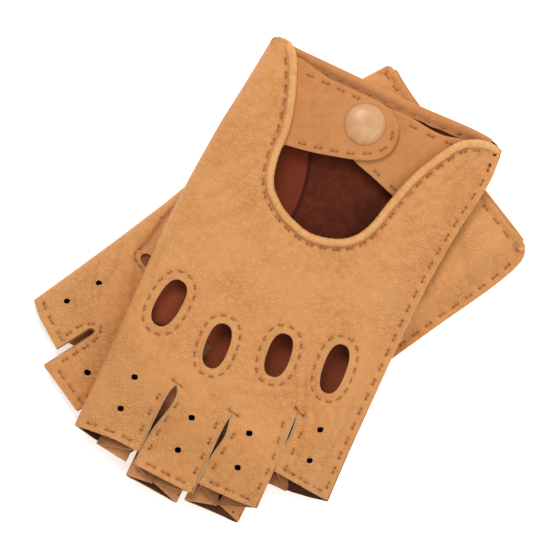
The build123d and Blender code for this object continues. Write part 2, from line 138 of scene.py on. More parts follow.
# Strap and snap
hinge_low = (-24.0, 137.0)
hinge_high = (-29.8, 169.0)
snap_centre = (0.5, 158.2)
cap_height = 2.2
lining = 0.4
lining_gap = 0.02
snap_clear = 1.2
tab_edge = [(-39.5, 168.3), (-20, 168.6), (-4, 168.8), (5, 168.5), (11.2, 165.4), (14, 161),
            (14.9, 157), (14.4, 153), (12.3, 149.2), (8.6, 146.4), (3, 143.9), (-8, 140.6),
            (-16, 138.6), (-24.3, 137.1), (-29.5, 136.4)]
underlap_edge = [(29, 135.8), (23.5, 137.4), (13, 140.6), (3, 143.4), (-5, 147.5), (-9.2, 153),
                 (-9.6, 158), (-7, 164.2), (0, 167.8), (10, 168.7), (18, 168.7), (25, 168.0),
                 (31, 168.2), (40, 170), (37.5, 162), (32, 150)]

# Shape of the leather
spacing = 1.5
fold_round = 6.5
seam_flat = 2.2
seam_rise = 11.0
seam_sag = 2.6
wrist_lift = 3.4
wrist_lift_from = 158.0
seam_inset = 2.4
thread_radius = 0.29
bead_inset = 3.4
crotch_gap = 5.5
corner_clear = 0.28
facing = {"back": 1, "palm": -1}
seam_pitch = 6.4
mouth_pitch = 5.8
knuckle_pitch = 4.2


def smoothstep(t):
    """An even rise from 0 to 1."""
    t = np.clip(t, 0, 1)
    return t * t * (3 - 2 * t)


def bell(gap, width):
    """A soft hump, 1 at no gap."""
    return np.exp(-(gap / width) ** 2)


def rounded(gap, reach):
    """A quarter round, from 0 at its edge to 1 past its reach."""
    return np.sqrt(1 - (1 - np.clip(gap / reach, 0, 1)) ** 2)


def thickness(y):
    """Loft of a glove, which thins from the hand to the finger ends."""
    return tip_thickness + (hand_thickness - tip_thickness) * smoothstep(y / taper_length)


def droop(past):
    """How far leather sinks at a distance past the edge that holds it up."""
    past = np.maximum(past, 0)
    return droop_rate * past * past / (past + droop_reach)


def over_right(x, y):
    """A spot of the pair's plan in the right glove's own plan."""
    dx, dy = x - right_origin[0], y - right_origin[1]
    return dx * cos(right_turn) + dy * sin(right_turn), dy * cos(right_turn) - dx * sin(right_turn)


class LeftGlove:
    """The upper glove, draped over the right one with its back up."""

    side = "left"
    strap_depth = 1.3
    down = -1
    piping_height = 1.5
    piping_rise = 0.1

    def spot(self, x, y):
        """Where a spot of the plan lies once the glove is laid down."""
        return x, y

    def palm(self, x, y):
        """Height of the palm side."""
        u, v = over_right(x, y)
        fall = droop(u - hand_half_width) + droop(-hand_half_width - u) + droop(v - hand_length)
        return thickness(v) + pair_gap - fall

    def back(self, x, y):
        """Height of the back."""
        return self.palm(x, y) + thickness(y)

    def place(self, points):
        """From the plan, in mm, to the shared frame, in metres."""
        return (points - plan_origin) * MM


class RightGlove:
    """The lower glove, drawn back up and then turned over onto its flat back."""

    side = "right"
    strap_depth = 2.6
    down = 1
    piping_height = 1.2
    piping_rise = -1.25

    def spot(self, x, y):
        low = np.clip((finger_zone - y) / finger_zone, 0, 1.3)
        high = np.clip((y - finger_zone) / (hand_length - finger_zone), 0, 1.1) ** 1.5
        lean = -finger_lean * low + index_squeeze * np.maximum(-40 - x, 0) / 11 * low
        reach = np.clip((35 - y) / 35, 0, 1.3)
        return x + lean + wrist_pull * np.maximum(20 - x, 0) / 68 * high - 0.1 * reach, y - 0.2 * reach

    def palm(self, x, y):
        return hand_thickness - thickness(y)

    def back(self, x, y):
        return hand_thickness + 0 * x

    def place(self, points):
        x, y, z = points.T
        turned = np.column_stack([
            right_origin[0] + x * cos(right_turn) - y * sin(right_turn),
            right_origin[1] + x * sin(right_turn) + y * cos(right_turn),
            np.maximum(hand_thickness - z, 0)])
        return (turned - plan_origin) * MM


gloves = [LeftGlove(), RightGlove()]
cap_low, cap_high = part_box("left_snap_cap")
cap_top = gloves[0].back(*np.array(snap_centre)) - gloves[0].strap_depth + cap_height
plan_origin = np.array([
    snap_centre[0] - (cap_low.x + cap_high.x) / 2 / MM,
    snap_centre[1] - (cap_low.y + cap_high.y) / 2 / MM,
    cap_top - cap_high.z / MM])


# Lines, loops and flat sheets in the plan

def smooth_line(points, step=1.3, closed=False):
    """Evenly shared points on a smooth curve through the given ones."""
    p = np.array(points, float)
    if closed:
        p = np.vstack([p[-1], p, p[0], p[1]])
    else:
        p = np.vstack([2 * p[0] - p[1], p, 2 * p[-1] - p[-2]])
    spans = []
    for a, b, c, d in zip(p, p[1:], p[2:], p[3:]):
        count = max(int(np.linalg.norm(c - b) / step), 1)
        t = np.arange(count)[:, None] / count
        spans.append(0.5 * (2 * b + (c - a) * t + (2 * a - 5 * b + 4 * c - d) * t ** 2
                            + (3 * b - a - 3 * c + d) * t ** 3))
    if not closed:
        spans.append(p[-2][None])
    return np.vstack(spans)


def straight_line(points, step=1.3):
    """Evenly shared points on straight runs between the given ones."""
    p = np.array(points, float)
    spans = []
    for a, b in zip(p, p[1:]):
        count = max(int(np.linalg.norm(b - a) / step), 1)
        spans.append(a + (b - a) * np.arange(count)[:, None] / count)
    spans.append(p[-1][None])
    return np.vstack(spans)


def run_along(line):
    """Length of a line up to each of its points."""
    return np.concatenate([[0], np.cumsum(np.linalg.norm(np.diff(line, axis=0), axis=1))])


def outward(line):
    """Direction square to a line at each of its points."""
    ahead = np.gradient(line, axis=0)
    return np.column_stack([ahead[:, 1], -ahead[:, 0]]) / np.linalg.norm(ahead, axis=1)[:, None]


def distance(points, line, closed=False):
    """Distance of each point from a line."""
    a = line
    b = np.roll(line, -1, axis=0)
    if not closed:
        a, b = a[:-1], b[:-1]
    run = b - a
    length = np.maximum((run ** 2).sum(1), 1e-9)
    best = np.full(len(points), 1e9)
    for i in range(len(a)):
        t = np.clip(((points - a[i]) @ run[i]) / length[i], 0, 1)
        gap = points - a[i] - t[:, None] * run[i]
        best = np.minimum(best, (gap ** 2).sum(1))
    return np.sqrt(best)


def inside(points, loop):
    """Whether each point is inside a closed loop."""
    x, y = points.T
    found = np.zeros(len(points), bool)
    for (ax, ay), (bx, by) in zip(loop, np.roll(loop, -1, axis=0)):
        if ay == by:
            continue
        crosses = (ay > y) != (by > y)
        found ^= crosses & (x < ax + (y - ay) * (bx - ax) / (by - ay))
    return found


def flat_sheet(outline, cuts, extra=None, pitch=spacing):
    """Triangles over an outline less its cuts: their corners in the plan, and the faces."""
    loops = [outline, *cuts]
    low, high = outline.min(0), outline.max(0)
    rows = np.arange(low[1], high[1], pitch * 0.87)
    grid = np.array([(x + (i % 2) * pitch / 2, y) for i, y in enumerate(rows)
                     for x in np.arange(low[0], high[0], pitch)])
    if extra is not None:
        grid = np.vstack([grid, extra])
    kept = inside(grid, outline)
    for cut in cuts:
        kept &= ~inside(grid, cut)
    grid, gaps = grid[kept], np.full(kept.sum(), 1e9)
    for loop in loops:
        gaps = np.minimum(gaps, distance(grid, loop, closed=True))
    grid = grid[gaps > corner_clear]
    corners, edges = [], []
    for loop in loops:
        start, count = len(corners), len(loop)
        corners += [Vector(p) for p in loop]
        edges += [(start + i, start + (i + 1) % count) for i in range(count)]
    corners += [Vector(p) for p in grid]
    points, _, faces, *_ = delaunay_2d_cdt(corners, edges, [], 0, 1e-4)
    points = np.array([p[:] for p in points])
    faces = np.array([f for f in faces if len(f) == 3])
    centres = points[faces].mean(1)
    kept = inside(centres, outline)
    for cut in cuts:
        kept &= ~inside(centres, cut)
    faces = faces[kept]
    a, b, c = (points[faces[:, i]] for i in range(3))
    turn = (b[:, 0] - a[:, 0]) * (c[:, 1] - a[:, 1]) - (b[:, 1] - a[:, 1]) * (c[:, 0] - a[:, 0])
    faces = faces[np.abs(turn) > 1e-5]
    turn = turn[np.abs(turn) > 1e-5]
    faces[turn < 0] = faces[turn < 0][:, ::-1]
    used, faces = np.unique(faces, return_inverse=True)
    return points[used], faces.reshape(-1, 3)


for glove in gloves:
    corner = index_corners[glove.side]
    glove.window = smooth_line(windows[glove.side], 0.8)
    glove.fold = smooth_line([corner, *fold_side])
    glove.wrist = smooth_line(wrist_edges[glove.side])
    glove.seam = smooth_line(little_sides[glove.side])
    glove.ends = {}
    for layer, ends in (("back", back_ends), ("palm", palm_ends)):
        index = [(x, y + (right_index_rise if glove.side == "right" else 0)) for x, y in ends[0]]
        glove.ends[layer] = [[corner, *index], *ends[1:]]


def hand_outline(glove, layer):
    """Outline of the back or the palm, with its stepped finger ends."""
    steps = [point for end in reversed(glove.ends[layer]) for point in reversed(end)]
    return np.vstack([glove.fold[:-1], glove.wrist[:-1], glove.seam[:-1], straight_line(steps)[:-1]])


thumb_seam = smooth_line(thumb_line[1:] + thumb_line[:1])
thumb_loop = np.vstack([straight_line(thumb_line[:2])[:-1], thumb_seam[:-1]])


def oval(x, y, half_width, half_height, lean=0.0, count=26):
    """A closed oval loop, a little fuller than an ellipse."""
    a = np.arange(count) * 2 * pi / count
    fuller = 0.8
    dx = half_width * np.sign(np.cos(a)) * np.abs(np.cos(a)) ** fuller
    dy = half_height * np.sign(np.sin(a)) * np.abs(np.sin(a)) ** fuller
    t = radians(lean)
    return np.column_stack([x + dx * cos(t) - dy * sin(t), y + dx * sin(t) + dy * cos(t)])


def back_slot_loop(name):
    """Edge of the back's slot between two fingers."""
    return smooth_line(back_slots[name], 0.9, closed=True)


def palm_slot_loop(name):
    """Edge of the palm's slot between two fingers."""
    x, crotch = palm_slots[name]
    half = palm_slot_half
    shape = [(x - half, past_fingers), (x - half, crotch - half), (x - half * 0.6, crotch - half * 0.2),
             (x, crotch), (x + half * 0.6, crotch - half * 0.2), (x + half, crotch - half),
             (x + half, past_fingers)]
    return straight_line(shape, 1.2)


knuckle_loops = [oval(*hole) for hole in knuckle_holes]
back_slot_loops = [back_slot_loop(name) for name in back_slots]
palm_slot_loops = [palm_slot_loop(name) for name in palm_slots]
thumb_mouth_loop = smooth_line([(-40.4, 49), (-39, 50.9), (-34, 51.4), (-26, 51.6), (-17, 52), (-22, 49.6),
                                (-30, 47.2), (-36, 46.2), (-39.4, 46.9)], 1.0, closed=True)


# Rows of stitches: each stitch is x, y, heading and length

def stitch_row(points, pitch=seam_pitch, length=2.5, closed=False):
    """Stitches evenly along a smooth line."""
    line = smooth_line(points, 0.5, closed)
    if closed:
        line = np.vstack([line, line[:1]])
    run = run_along(line)
    count = max(int(run[-1] / pitch), 1)
    along = (np.arange(count) + 0.5) / count * run[-1]
    x, y = np.interp(along, run, line[:, 0]), np.interp(along, run, line[:, 1])
    ahead = np.minimum(along + 0.5, run[-1])
    behind = np.maximum(along - 0.5, 0)
    heading = np.arctan2(np.interp(ahead, run, line[:, 1]) - np.interp(behind, run, line[:, 1]),
                         np.interp(ahead, run, line[:, 0]) - np.interp(behind, run, line[:, 0]))
    return np.column_stack([x, y, heading, np.full(count, length)])


def side_row(glove):
    """Stitches of the little finger's side seam."""
    line = [(x - seam_inset, y) for x, y in little_sides[glove.side]]
    line[0] = (line[0][0], line[0][1] - seam_inset)
    line[-1] = (line[-1][0], line[-1][1] + seam_inset)
    return stitch_row(line)


def slot_ends(glove, layer):
    """Where the two fingers beside each slot end."""
    ends = glove.ends[layer]
    return [(near[-1][1] + crotch_gap, far[0][1] + crotch_gap) for near, far in zip(ends, ends[1:])]


def mouth_rows(glove, layer, inset):
    """Stitches along the fingers' mouths."""
    rows = []
    for end, (start, stop) in zip(glove.ends[layer], finger_spans):
        line = np.array(end, float)
        x = np.linspace(start + 2.4, stop - 2.4, 5)
        rows.append(stitch_row(np.column_stack([x, np.interp(x, *line.T) + inset]), mouth_pitch, 3.2))
    return rows


def slot_rows(glove):
    """Stitches beside the slots of the back and over their crotches."""
    rows = []
    for name, (near_end, far_end) in zip(back_slots, slot_ends(glove, "back")):
        x, y = max(back_slots[name], key=lambda p: p[1])
        left_x, right_x = back_slots[name][0][0], back_slots[name][-1][0]
        rows.append(stitch_row([(left_x - seam_inset, near_end), (left_x - seam_inset, y / 2),
                                (x - seam_inset - 1.8, y - 3.5)], mouth_pitch, 2.0))
        rows.append(stitch_row([(x + seam_inset + 2.0, y - 4), (right_x + seam_inset + 0.6, y / 2),
                                (right_x + seam_inset, far_end)], mouth_pitch, 2.0))
        rows.append(np.array([[x + 0.2, y + 0.9, -0.25, 4.4]]))
    return rows


def palm_slot_rows(glove):
    """Stitches round the slots of the palm."""
    rows = []
    for (x, crotch), (near_end, far_end) in zip(palm_slots.values(), slot_ends(glove, "palm")):
        side = palm_slot_half + seam_inset
        rows.append(stitch_row([(x - side, near_end), (x - side, crotch - 3), (x, crotch + seam_inset),
                                (x + side, crotch - 3), (x + side, far_end)], 4.6, 2.1))
    return rows


def knuckle_rows():
    """A ring of stitches round each knuckle hole."""
    return [stitch_row(oval(x, y, half_width + 3.0, half_height + 3.0, lean, 24), knuckle_pitch, 1.4, True)
            for x, y, half_width, half_height, lean in knuckle_holes]


def window_row(glove):
    """Stitches outside the window's piping."""
    line = glove.window + outward(glove.window) * (piping_radius + 1.1)
    return stitch_row(line[6:-6:6], 5.4, 2.4)


def hem_row(glove):
    """Stitches of the wrist's hem."""
    line = [(x, y - 3.6) for x, y in wrist_edges[glove.side][3:-2]]
    return stitch_row([(line[0][0] - 3, line[0][1]), *line[1:]], seam_pitch, 2.6)


def thumb_rows():
    """Stitches beside the thumb's seam and round its mouth, and one cross stitch."""
    return [stitch_row([(-44.5, 56), (-48.4, 66), (-51.2, 74), (-51, 84), (-46.5, 95)], 7.0, 2.0),
            stitch_row([(-43.2, 51), (-42.8, 47.2), (-38.6, 45), (-28, 46), (-20, 48)], 2.9, 1.3),
            np.array([[-47.6, 64.2, 0.3, 2.3], [-47.6, 64.2, 1.5, 2.0]])]


tab_rows = [stitch_row([(-31, 166.1), (-4, 166.4)], 6.6),
            stitch_row([(11.0, 162), (12.4, 157), (10.6, 151.5), (3, 146.4), (-8, 142.7), (-22, 139.6)])]
underlap_rows = [stitch_row([(14.5, 165.9), (26, 165.6), (38, 166.6)]), stitch_row([(9, 144.0), (26, 139.2)])]
for glove in gloves:
    glove.rows = {
        "back": {
            "side_seam_thread": [side_row(glove)],
            "finger_thread": mouth_rows(glove, "back", seam_inset) + slot_rows(glove),
            "knuckle_thread": knuckle_rows(),
            "window_thread": [window_row(glove)],
        },
        "palm": {
            "side_seam_thread": [side_row(glove)],
            "finger_thread": mouth_rows(glove, "palm", bead_inset) + palm_slot_rows(glove) + thumb_rows(),
            "wrist_hem_thread": [hem_row(glove)],
        },
    }


# Height of the leather

back_creases = [
    ([(-29.6, 139), (-33, 136.5), (-37, 133)], 0.4, 0.9), ([(-30, 142.5), (-34, 140), (-39, 136)], 0.4, 0.9),
    ([(-31, 147), (-35, 144.5), (-41, 141)], 0.35, 0.9), ([(-33, 152), (-38, 149), (-44, 147)], 0.3, 1.0),
    ([(-31, 150), (-30.7, 141), (-30.2, 131), (-27.8, 120)], 0.3, 0.7),
    ([(-35, 158), (-40, 158), (-45, 156)], 0.25, 1.0), ([(27, 136), (31, 133), (36, 131)], 0.3, 0.9),
    ([(29, 141), (34, 140), (40, 141)], 0.3, 0.9), ([(-2, 104), (-10, 100), (-22, 99)], 0.2, 1.0),
    ([(14, 106), (22, 102), (34, 101)], 0.2, 1.0),
    ([(24, 56), (29, 45), (33, 33), (35, 24)], 0.5, 1.5), ([(26, 60), (31, 50), (37, 40)], 0.4, 1.3),
    ([(20, 47), (8, 42), (-2, 40)], 0.35, 1.6), ([(22, 52), (12, 50), (3, 45)], 0.3, 1.4),
    ([(-33, 133), (-40, 124), (-47, 117)], 0.4, 1.6), ([(-31, 126), (-37, 113), (-44, 104)], 0.35, 1.5),
    ([(-35, 143), (-42, 137), (-49, 134)], 0.3, 1.3), ([(-26, 112), (-33, 101), (-41, 93)], 0.3, 1.6),
    ([(47, 168), (42, 160), (39, 150)], 0.55, 1.3), ([(50, 166), (46, 158), (44, 150)], 0.4, 1.1),
    ([(44, 148), (36, 142), (31, 134)], 0.4, 1.5), ([(48, 138), (40, 131), (33, 124)], 0.35, 1.5),
    ([(49, 120), (38, 112), (30, 108)], 0.3, 1.7), ([(-20, 47), (-12, 38), (-4, 33)], 0.3, 1.5),
    ([(-48, 60), (-50, 75), (-48, 90)], 0.3, 1.4), ([(44, 60), (46, 45), (45, 30)], 0.4, 1.6),
    ([(39, 58), (42, 46), (43, 36)], 0.3, 1.3)]
palm_creases = [
    ([(-50, 45), (-43, 38), (-36, 25)], 0.4, 1.6), ([(-47, 52), (-38, 44), (-27, 34)], 0.45, 1.7),
    ([(-48, 33), (-40, 24), (-36, 12)], 0.3, 1.4), ([(-20, 40), (-22, 30), (-24, 20)], 0.35, 1.3),
    ([(20, 160), (35, 150), (50, 143)], 0.3, 2.2), ([(25, 130), (38, 122), (48, 110)], 0.3, 2.0),
    ([(-40, 110), (-20, 104), (5, 98), (30, 90)], 0.4, 2.0)]


def ripple(points, size, seed):
    """Smooth noise over the plan, from -1 to 1."""
    return np.array([noise.noise(Vector((x / size, y / size, seed))) for x, y in points])


def relief(points, seed, creases):
    """Bumps and creases of relaxed leather, and how far each point is in a crease."""
    bumps = (0.32 * ripple(points, 34, seed) + 0.17 * ripple(points, 12, seed + 5)
             + 0.11 * ripple(points, 3.6, seed + 9))
    depth = np.zeros(len(points))
    wander = 0.6 * ripple(points, 4, seed + 20)
    for line, deep, wide in creases:
        gap = distance(points, smooth_line(line, 2.0)) + wander
        depth = np.maximum(depth, 0.75 * deep * bell(gap, 0.6 * wide))
        bumps += 0.3 * deep * bell(gap - 1.5 * wide, wide)
    return bumps - depth, depth


def edge_beads(points, loops, lip, groove, inset):
    """A lip along cut edges, and a groove at its row of stitches."""
    height = np.zeros(len(points))
    for loop in loops:
        gap = distance(points, loop, closed=True)
        height += lip * bell(gap - inset * 0.4, 0.9) - groove * bell(gap - inset, 0.8)
    return height


def finger_beads(glove, layer, points, inset):
    """The turned hem along each finger's mouth."""
    gap = np.min([distance(points, np.array(end, float)) for end in glove.ends[layer]], axis=0)
    return 0.3 * bell(gap - 0.9, 0.9) - 0.3 * bell(gap - inset, 0.7)


def puckers(points, line, offset, pitch, height):
    """Little gathers between the stitches along a line."""
    gaps = np.linalg.norm(points[:, None] - line[None, ::2], axis=2)
    nearest = gaps.argmin(1) * 2
    gap = gaps.min(1)
    wave = np.sin(run_along(line)[nearest] * 2 * pi / pitch)
    return height * wave * bell(gap - offset, 2.2) * (gap > offset - 1.5)


def finger_crown(points):
    """Each finger's rise between its slots."""
    x, y = points.T
    height = np.zeros(len(points))
    for left, right in finger_spans:
        across = np.clip((x - (left + right) / 2) / ((right - left) / 2 + 0.8), -1, 1)
        height += 0.9 * (1 - across ** 2) * (1 - smoothstep((y - 10) / 28))
    return height


def surface(glove, layer, points, dressed=True):
    """Height of the outer face of the back or the palm at points of the plan, and its creases."""
    x, y = points.T
    spot_x, spot_y = glove.spot(x, y)
    palm, back = glove.palm(spot_x, spot_y), glove.back(spot_x, spot_y)
    middle, half = (palm + back) / 2, (back - palm) / 2
    from_fold, from_seam = distance(points, glove.fold), distance(points, glove.seam)
    rounding = rounded(from_fold, fold_round)
    pinch = smoothstep((from_seam - seam_flat) / seam_rise)
    inner = 0.95 * leather + 0.05
    opening = rounding * (inner + (half - inner) * pinch)
    middle = middle + glove.down * seam_sag * (1 - pinch)
    calm = np.minimum(rounding, 0.25 + 0.75 * pinch)
    sign = facing[layer]
    if not dressed:
        return middle + sign * opening, np.zeros(len(points))
    if layer == "back":
        bumps, depth = relief(points, 1.0, back_creases)
        bumps += edge_beads(points, back_slot_loops, 0.25, 0.25, seam_inset)
        bumps += edge_beads(points, knuckle_loops, 0.1, 0.12, 3.0)
        bumps += finger_crown(points) + finger_beads(glove, layer, points, seam_inset)
        bumps -= 0.55 * bell(distance(points, glove.window) - piping_radius - 0.3, 0.9)
        bumps += puckers(points, glove.window, 4.2, 5.4, 0.14)
    else:
        bumps, depth = relief(points, 40.0, palm_creases)
        bumps = bumps * 0.7 + edge_beads(points, palm_slot_loops, 0.25, 0.25, seam_inset)
        bumps += finger_beads(glove, layer, points, bead_inset)
        from_wrist = distance(points, glove.wrist)
        bumps += 0.4 * bell(from_wrist - 1.0, 1.0) - 0.7 * bell(from_wrist - 2.6, 0.55)
        # A line of painted shade in the groove along the wrist
        depth = np.maximum(depth, 0.4 * bell(from_wrist - 2.6, 0.5))
        bumps -= wrist_lift * smoothstep((y - wrist_lift_from) / (hand_length - wrist_lift_from))
        bumps -= thumb_dent(points)
    bumps += 0.2 * bell(from_seam - 1.0, 0.8) - 0.25 * bell(from_seam - seam_inset, 0.8)
    bumps += puckers(points, glove.seam, 4.5, seam_pitch, 0.12)
    return middle + sign * (opening + calm * bumps), depth


def thumb_dent(points):
    """How deep the palm is pressed in under the thumb."""
    gap = distance(points, thumb_loop, closed=True) * np.where(inside(points, thumb_loop), 1, -1)
    return 3.1 * smoothstep((gap + 1.5) / 4.0)


def around_stitches(rows):
    """Points of the plan at and around each stitch, where the leather needs more corners."""
    marks = [(0, 0), (0, 0.7), (0, -0.7), (1, 0), (-1, 0), (1, 0.6), (1, -0.6), (-1, 0.6), (-1, -0.6),
             (1.8, 0), (-1.8, 0), (1.4, 1.1), (1.4, -1.1), (-1.4, 1.1), (-1.4, -1.1)]
    x, y, heading, length = rows.T
    return np.vstack([np.column_stack([x + a * length / 2 * np.cos(heading) - b * np.sin(heading),
                                       y + a * length / 2 * np.sin(heading) + b * np.cos(heading)])
                      for a, b in marks])


def dimples(points, rows):
    """How far the stitches pull the leather in, and the painted shade in each dimple and at the stitch holes.
    """
    depth, dark = np.zeros(len(points)), np.zeros(len(points))
    for x, y, heading, length in rows:
        near = np.nonzero(np.abs(points - (x, y)).max(1) < 5)[0]
        if not len(near):
            continue
        dx, dy = points[near, 0] - x, points[near, 1] - y
        along = dx * cos(heading) + dy * sin(heading)
        across = dy * cos(heading) - dx * sin(heading)
        ends = bell(np.hypot(np.abs(along) - length / 2, across), 0.55)
        trough = np.exp(-(along / length / 0.6) ** 2 - (across / 0.8) ** 2)
        depth[near] = np.maximum(depth[near], 0.25 * trough + 0.4 * ends)
        # dark: painted shade, deepest at the stitch holes
        dark[near] = np.maximum(dark[near], np.maximum(0.2 * trough, 0.85 * ends))
    return depth, dark


# Meshes

def corner_normals(corners, faces):
    """Smooth normal at each corner."""
    a, b, c = (corners[faces[:, i]] for i in (0, 1, -1))
    face_normals = np.cross(b - a, c - a)
    normals = np.zeros_like(corners)
    for i in range(faces.shape[1]):
        np.add.at(normals, faces[:, i], face_normals)
    return normals / np.maximum(np.linalg.norm(normals, axis=1), 1e-12)[:, None]


def shell(corners, faces, plan, shade, thick, bulge=0.22):
    """Leather of a given thickness behind a surface, with rounded cut edges.
    Gives corners, faces, plan coordinates, shade, and each face's place: 0 outer, 1 inner, 2 edge."""
    normals = corner_normals(corners, faces)
    count, sides = len(corners), faces.shape[1]
    edges = np.vstack([faces[:, [i, (i + 1) % sides]] for i in range(sides)])
    key = np.sort(edges, axis=1)
    _, first, times = np.unique(key[:, 0] * count + key[:, 1], return_index=True, return_counts=True)
    rim = edges[first[times == 1]]
    out = np.zeros_like(corners)
    for a in (0, 1):
        sideways = np.cross(corners[rim[:, 1]] - corners[rim[:, 0]], normals[rim[:, a]])
        np.add.at(out, rim[:, a], sideways)
    rim_corners = np.unique(rim)
    out = out / np.maximum(np.linalg.norm(out, axis=1), 1e-12)[:, None]
    middles = corners - normals * thick * 0.5 + out * bulge
    place = np.zeros(count, int)
    place[rim_corners] = 2 * count + np.arange(len(rim_corners))
    corners = np.vstack([corners, corners - normals * thick, middles[rim_corners]])
    plan = np.vstack([plan, plan, plan[rim_corners] + 0.4])
    shade = np.concatenate([shade, shade, shade[rim_corners]])
    rim_faces = np.vstack([
        np.column_stack([rim[:, 1], rim[:, 0], place[rim[:, 0]], place[rim[:, 1]]]),
        np.column_stack([place[rim[:, 1]], place[rim[:, 0]], rim[:, 0] + count, rim[:, 1] + count])])
    all_faces = faces.tolist() + (faces[:, ::-1] + count).tolist() + rim_faces.tolist()
    where = np.repeat([0, 1, 2], [len(faces), len(faces), len(rim_faces)])
    return corners, all_faces, plan, shade, where


def strip_faces(wide, count):
    """Faces between rows of corners."""
    return np.array([[r * count + i, r * count + i + 1, (r + 1) * count + i + 1, (r + 1) * count + i]
                     for r in range(wide - 1) for i in range(count - 1)])


def linked(name, data):
    """A new object in the scene."""
    made = bpy.data.objects.new(name, data)
    bpy.context.scene.collection.objects.link(made)
    return made


def add_mesh(name, glove, materials, corners, faces, plan, shade=None, where=None, sharp=50):
    """A mesh placed in the row frame, with its plan as a UV map in units of 100 mm."""
    name = f"{glove.side}_{name}"
    x, y = glove.spot(corners[:, 0], corners[:, 1])
    placed = glove.place(np.column_stack([x, y, corners[:, 2]]))
    faces = [list(f) for f in faces]
    if glove.side == "right":
        faces = [f[::-1] for f in faces]
    mesh = bpy.data.meshes.new(name)
    mesh.from_pydata(placed.tolist(), [], faces)
    loops = np.zeros(len(mesh.loops), np.int32)
    mesh.loops.foreach_get("vertex_index", loops)
    uv = mesh.uv_layers.new(name="plan")
    uv.data.foreach_set("uv", (plan[loops] / 100).astype(np.float32).ravel())
    if shade is not None:
        mesh.attributes.new("shade", "FLOAT", "POINT").data.foreach_set("value", shade.astype(np.float32))
    for material in materials:
        mesh.materials.append(material)
    if where is not None:
        mesh.polygons.foreach_set("material_index", np.array(where, np.int32))
    mesh.polygons.foreach_set("use_smooth", np.ones(len(faces), bool))
    mesh.set_sharp_from_angle(angle=radians(sharp))
    mesh.update()
    return linked(name, mesh)


def unrolled(glove, layer, points):
    """Plan coordinates that run on round the fold, so that the grain isn't stretched there."""
    gap = distance(points, glove.fold)
    mean = (fold_round + hand_thickness / 2) / 2
    angle = np.arccos(1 - np.clip(gap / fold_round, 0, 1))
    arc = np.where(gap < fold_round, mean * angle, mean * pi / 2 + gap - fold_round)
    sign = facing[layer]
    return np.column_stack([-52 + sign * arc, points[:, 1]])


def vent_loop(x, y):
    """Edge of one vent hole."""
    return oval(x, y, vent_radius, vent_radius * 0.9, lean=20, count=12)


def make_trank(glove):
    """Palm and back in one piece of leather, folded at the index side."""
    window_loop = np.vstack([glove.window, [(60, 168), (60, 190), (glove.window[0][0], 190)]])
    angles = np.radians([12, 24, 36, 48, 60, 72, 84])
    rolls = np.vstack([glove.fold[1:-1] + (fold_round * (1 - cos(a)), 0) for a in angles])
    parts = []
    sheets = {
        "back": back_slot_loops + knuckle_loops + [window_loop] + [vent_loop(*v) for v in back_vents],
        "palm": palm_slot_loops + [thumb_mouth_loop] + [vent_loop(*v) for v in palm_vents],
    }
    for layer, cuts in sheets.items():
        rows = np.vstack([r for group in glove.rows[layer].values() for r in group])
        extra = np.vstack([rolls, around_stitches(rows)])
        points, faces = flat_sheet(hand_outline(glove, layer), cuts, extra)
        height, crease = surface(glove, layer, points)
        pull, dark = dimples(points, rows)
        height = height - pull if layer == "back" else height + pull
        # The shade: painted shade at the stitch holes and in the creases
        parts.append([np.column_stack([points, height]), faces if layer == "back" else faces[:, ::-1],
                      unrolled(glove, layer, points), np.maximum(dark, crease * 0.6)])
    (back, back_faces, back_plan, back_shade), (palm, palm_faces, palm_plan, palm_shade) = parts
    on_fold = {}
    for i in np.nonzero(distance(back[:, :2], glove.fold) < 0.02)[0]:
        on_fold[tuple(np.round(back[i, :2], 2))] = i
    target = np.arange(len(palm)) + len(back)
    for i in np.nonzero(distance(palm[:, :2], glove.fold) < 0.02)[0]:
        target[i] = on_fold.get(tuple(np.round(palm[i, :2], 2)), target[i])
    corners = np.vstack([back, palm])
    faces = np.vstack([back_faces, target[palm_faces]])
    plan, shade = np.vstack([back_plan, palm_plan]), np.concatenate([back_shade, palm_shade])
    used, faces = np.unique(faces, return_inverse=True)
    faces = faces.reshape(-1, 3)
    corners, faces, plan, shade, where = shell(corners[used], faces, plan[used], shade[used], leather)
    edge_faces = np.nonzero(where == 2)[0]
    centres = np.array([corners[faces[i]].mean(0)[:2] for i in edge_faces])
    hems = [np.array(end, float) for ends in glove.ends.values() for end in ends] + [glove.wrist]
    where[edge_faces[np.min([distance(centres, hem) for hem in hems], axis=0) < 0.7]] = 0
    return add_mesh("trank_leather", glove, [skin, suede, cut_edge], corners, faces, plan,
                    shade, where)


